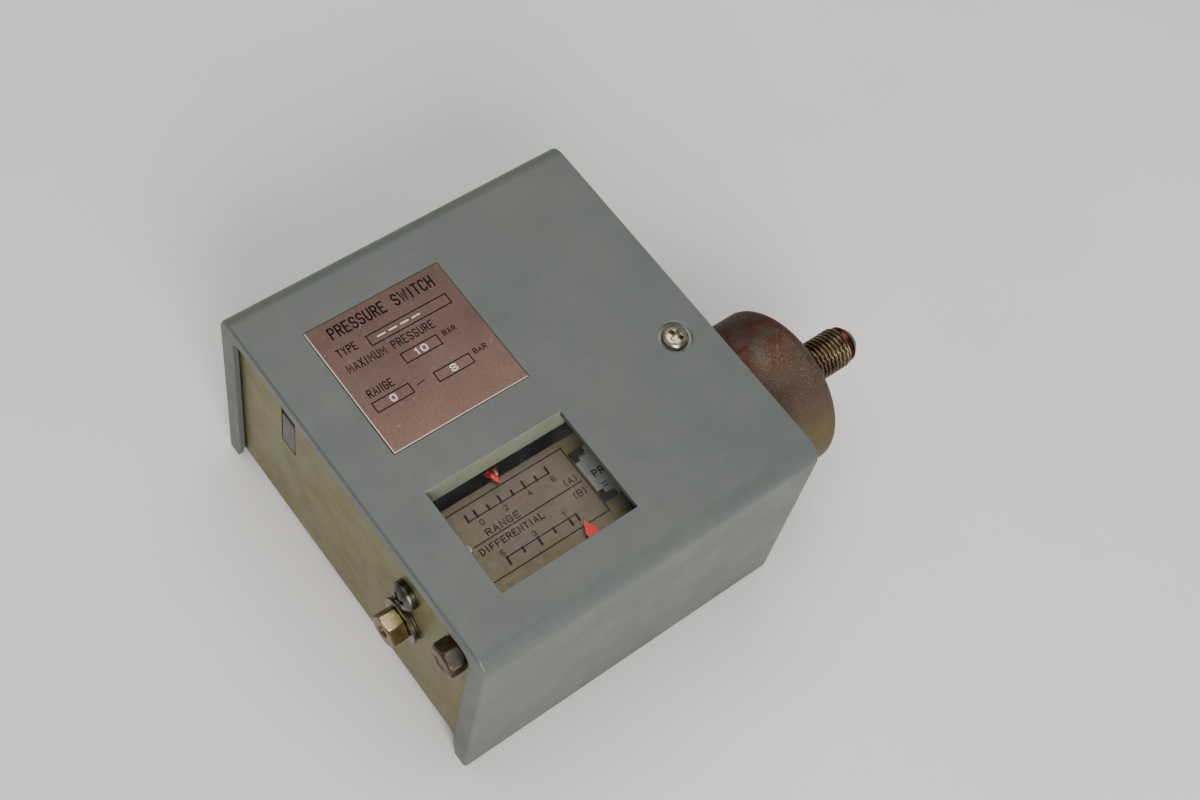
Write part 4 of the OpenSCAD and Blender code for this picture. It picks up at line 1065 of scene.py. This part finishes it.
# ---------------------------------------------------------------- the rest of the CAD nodes
# CAD node: its piece, its paint and the width of its rounded edges
REFINED = {
    "chassis": ("frame_sheet", "zinc", 0.18),
    "end_plate": ("end_plate_sheet", "zinc", 0.18),
    "scale_bracket": ("scale_bracket_sheet", "zinc", 0.12),
    "pivot_bracket": ("pivot_bracket_sheet", "zinc", 0.15),
    "switch_bracket": ("switch_bracket_sheet", "zinc", 0.15),
    "main_lever": ("main_lever_sheet", "zinc", 0.15),
    "spring_seat": ("spring_seat_disc", "zinc", 0.15),
    "plate_rivets": ("plate_rivet_heads", "rivet", 0.3),
    "cup_rivets": ("cup_rivet_heads", "rivet", 0.3),
    "bracket_rivets": ("bracket_rivet_heads", "rivet", 0.3),
    "foot_rivet": ("foot_rivet_head", "rivet", 0.25),
    "scale_rivets": ("scale_rivet_heads", "washer", 0.12),
    "pivot_pin": ("pivot_pin_bar", "steel", 0.2),
    "push_rod": ("push_rod_bar", "steel", 0.2),
    "bellows_cap": ("bellows_cap_disc", "bronze", 0.3),
    "range_clip": ("range_clip_ring", "oily", 0.08),
    "differential_clip": ("differential_clip_ring", "oily", 0.08),
    "range_nut": ("range_nut_body", "steel", 0.15),
    "differential_nut": ("differential_nut_body", "steel", 0.2),
    "switch_case": ("switch_case_shell", "black", 0.2),
    "switch_lid": ("switch_lid_plate", "brown", 0.25),
    "switch_plunger": ("plunger_button", "plunger", 0.3),
    "contact_blade": ("contact_blade_strip", "copper", 0.08),
    "terminals": ("terminal_strips", "strip", 0.1),
    "terminal_screws": ("terminal_screw_heads", "steel", 0.12),
    "switch_screws": ("switch_screw_heads", "steel", 0.12),
    "earth_screw": ("earth_screw_head", "steel", 0.2),
    "earth_washer": ("earth_washer_disc", "strip", 0.1),
}


# ---------------------------------------------------------------- floor and light
def make_stage():
    floor_side, floor_gap = 3.0, 0.02 * MM
    bpy.ops.mesh.primitive_plane_add(size=floor_side, location=(0, 0, -floor_gap))
    floor = bpy.context.object
    floor.name = "floor"
    p = Paint("pale_floor", Roughness=0.85, Specular_IOR_Level=0.2)
    cloud = p.noise(160, 4, 0.5)
    p.colour(p.ramp(cloud, (0.3, tone(214, 212, 212)), (0.7, tone(222, 220, 219))))
    p.rough(p.level(p.noise(3, 3), 0.3, 0.7, 0.8, 0.95))
    p.bump(p.noise(1.5, 4, 0.6), 0.05, 0.25)
    floor.data.materials.append(p.material)
    world = bpy.data.worlds.new("soft_room")
    bpy.context.scene.world = world
    world.use_nodes = True
    room = world.node_tree.nodes["Background"]
    room.inputs["Color"].default_value = (1.0, 0.985, 0.965, 1)
    room.inputs["Strength"].default_value = 0.45
    soft_light("key", (-0.40, -0.85, 0.75), 0.5, 11.0, (1.0, 0.97, 0.93))
    soft_light("overhead", (0.15, 0.35, 1.5), 1.2, 15.0, (1.0, 0.96, 0.92))
    soft_light("low front", (-0.16, -0.50, 0.14), 0.20, 1.0, (1.0, 0.99, 0.98))


def soft_light(name, place, size, watts, colour):
    data = bpy.data.lights.new(name, "AREA")
    data.shape = "SQUARE"
    data.size = size
    data.energy = watts
    data.color = colour
    lamp = bpy.data.objects.new(name, data)
    lamp.location = place
    lamp.rotation_mode = "QUATERNION"
    lamp.rotation_quaternion = (AIM - Vector(place)).to_track_quat("-Z", "Y")
    bpy.context.scene.collection.objects.link(lamp)


make_cover()
make_nameplate()
make_cover_screw()
make_cup()
make_fitting()
make_bellows()
make_adjuster("range_screw", "range_hexagon", "range_hex", "brass_highlight", RANGE_AXIS,
              math.radians(90), math.radians(90), 1.6)
make_adjuster("differential_screw", "differential_hexagon", "diff_hex", "diff_flat", DIFF_AXIS,
              math.radians(0), math.radians(120), 0)
make_coil("range_spring", "range_spring_wire", 8.0, 1.2, 8.0, RANGE_AXIS,
          0.9)
make_coil("differential_spring", "differential_spring_wire", 4.2, 0.6, 14.0, DIFF_AXIS,
          0.3)
make_washer()
make_grommet()
make_bracket_screw()
make_scale()
make_pointers()
for node, (name, material, width) in REFINED.items():
    refine(node, name, material, width)
make_stage()
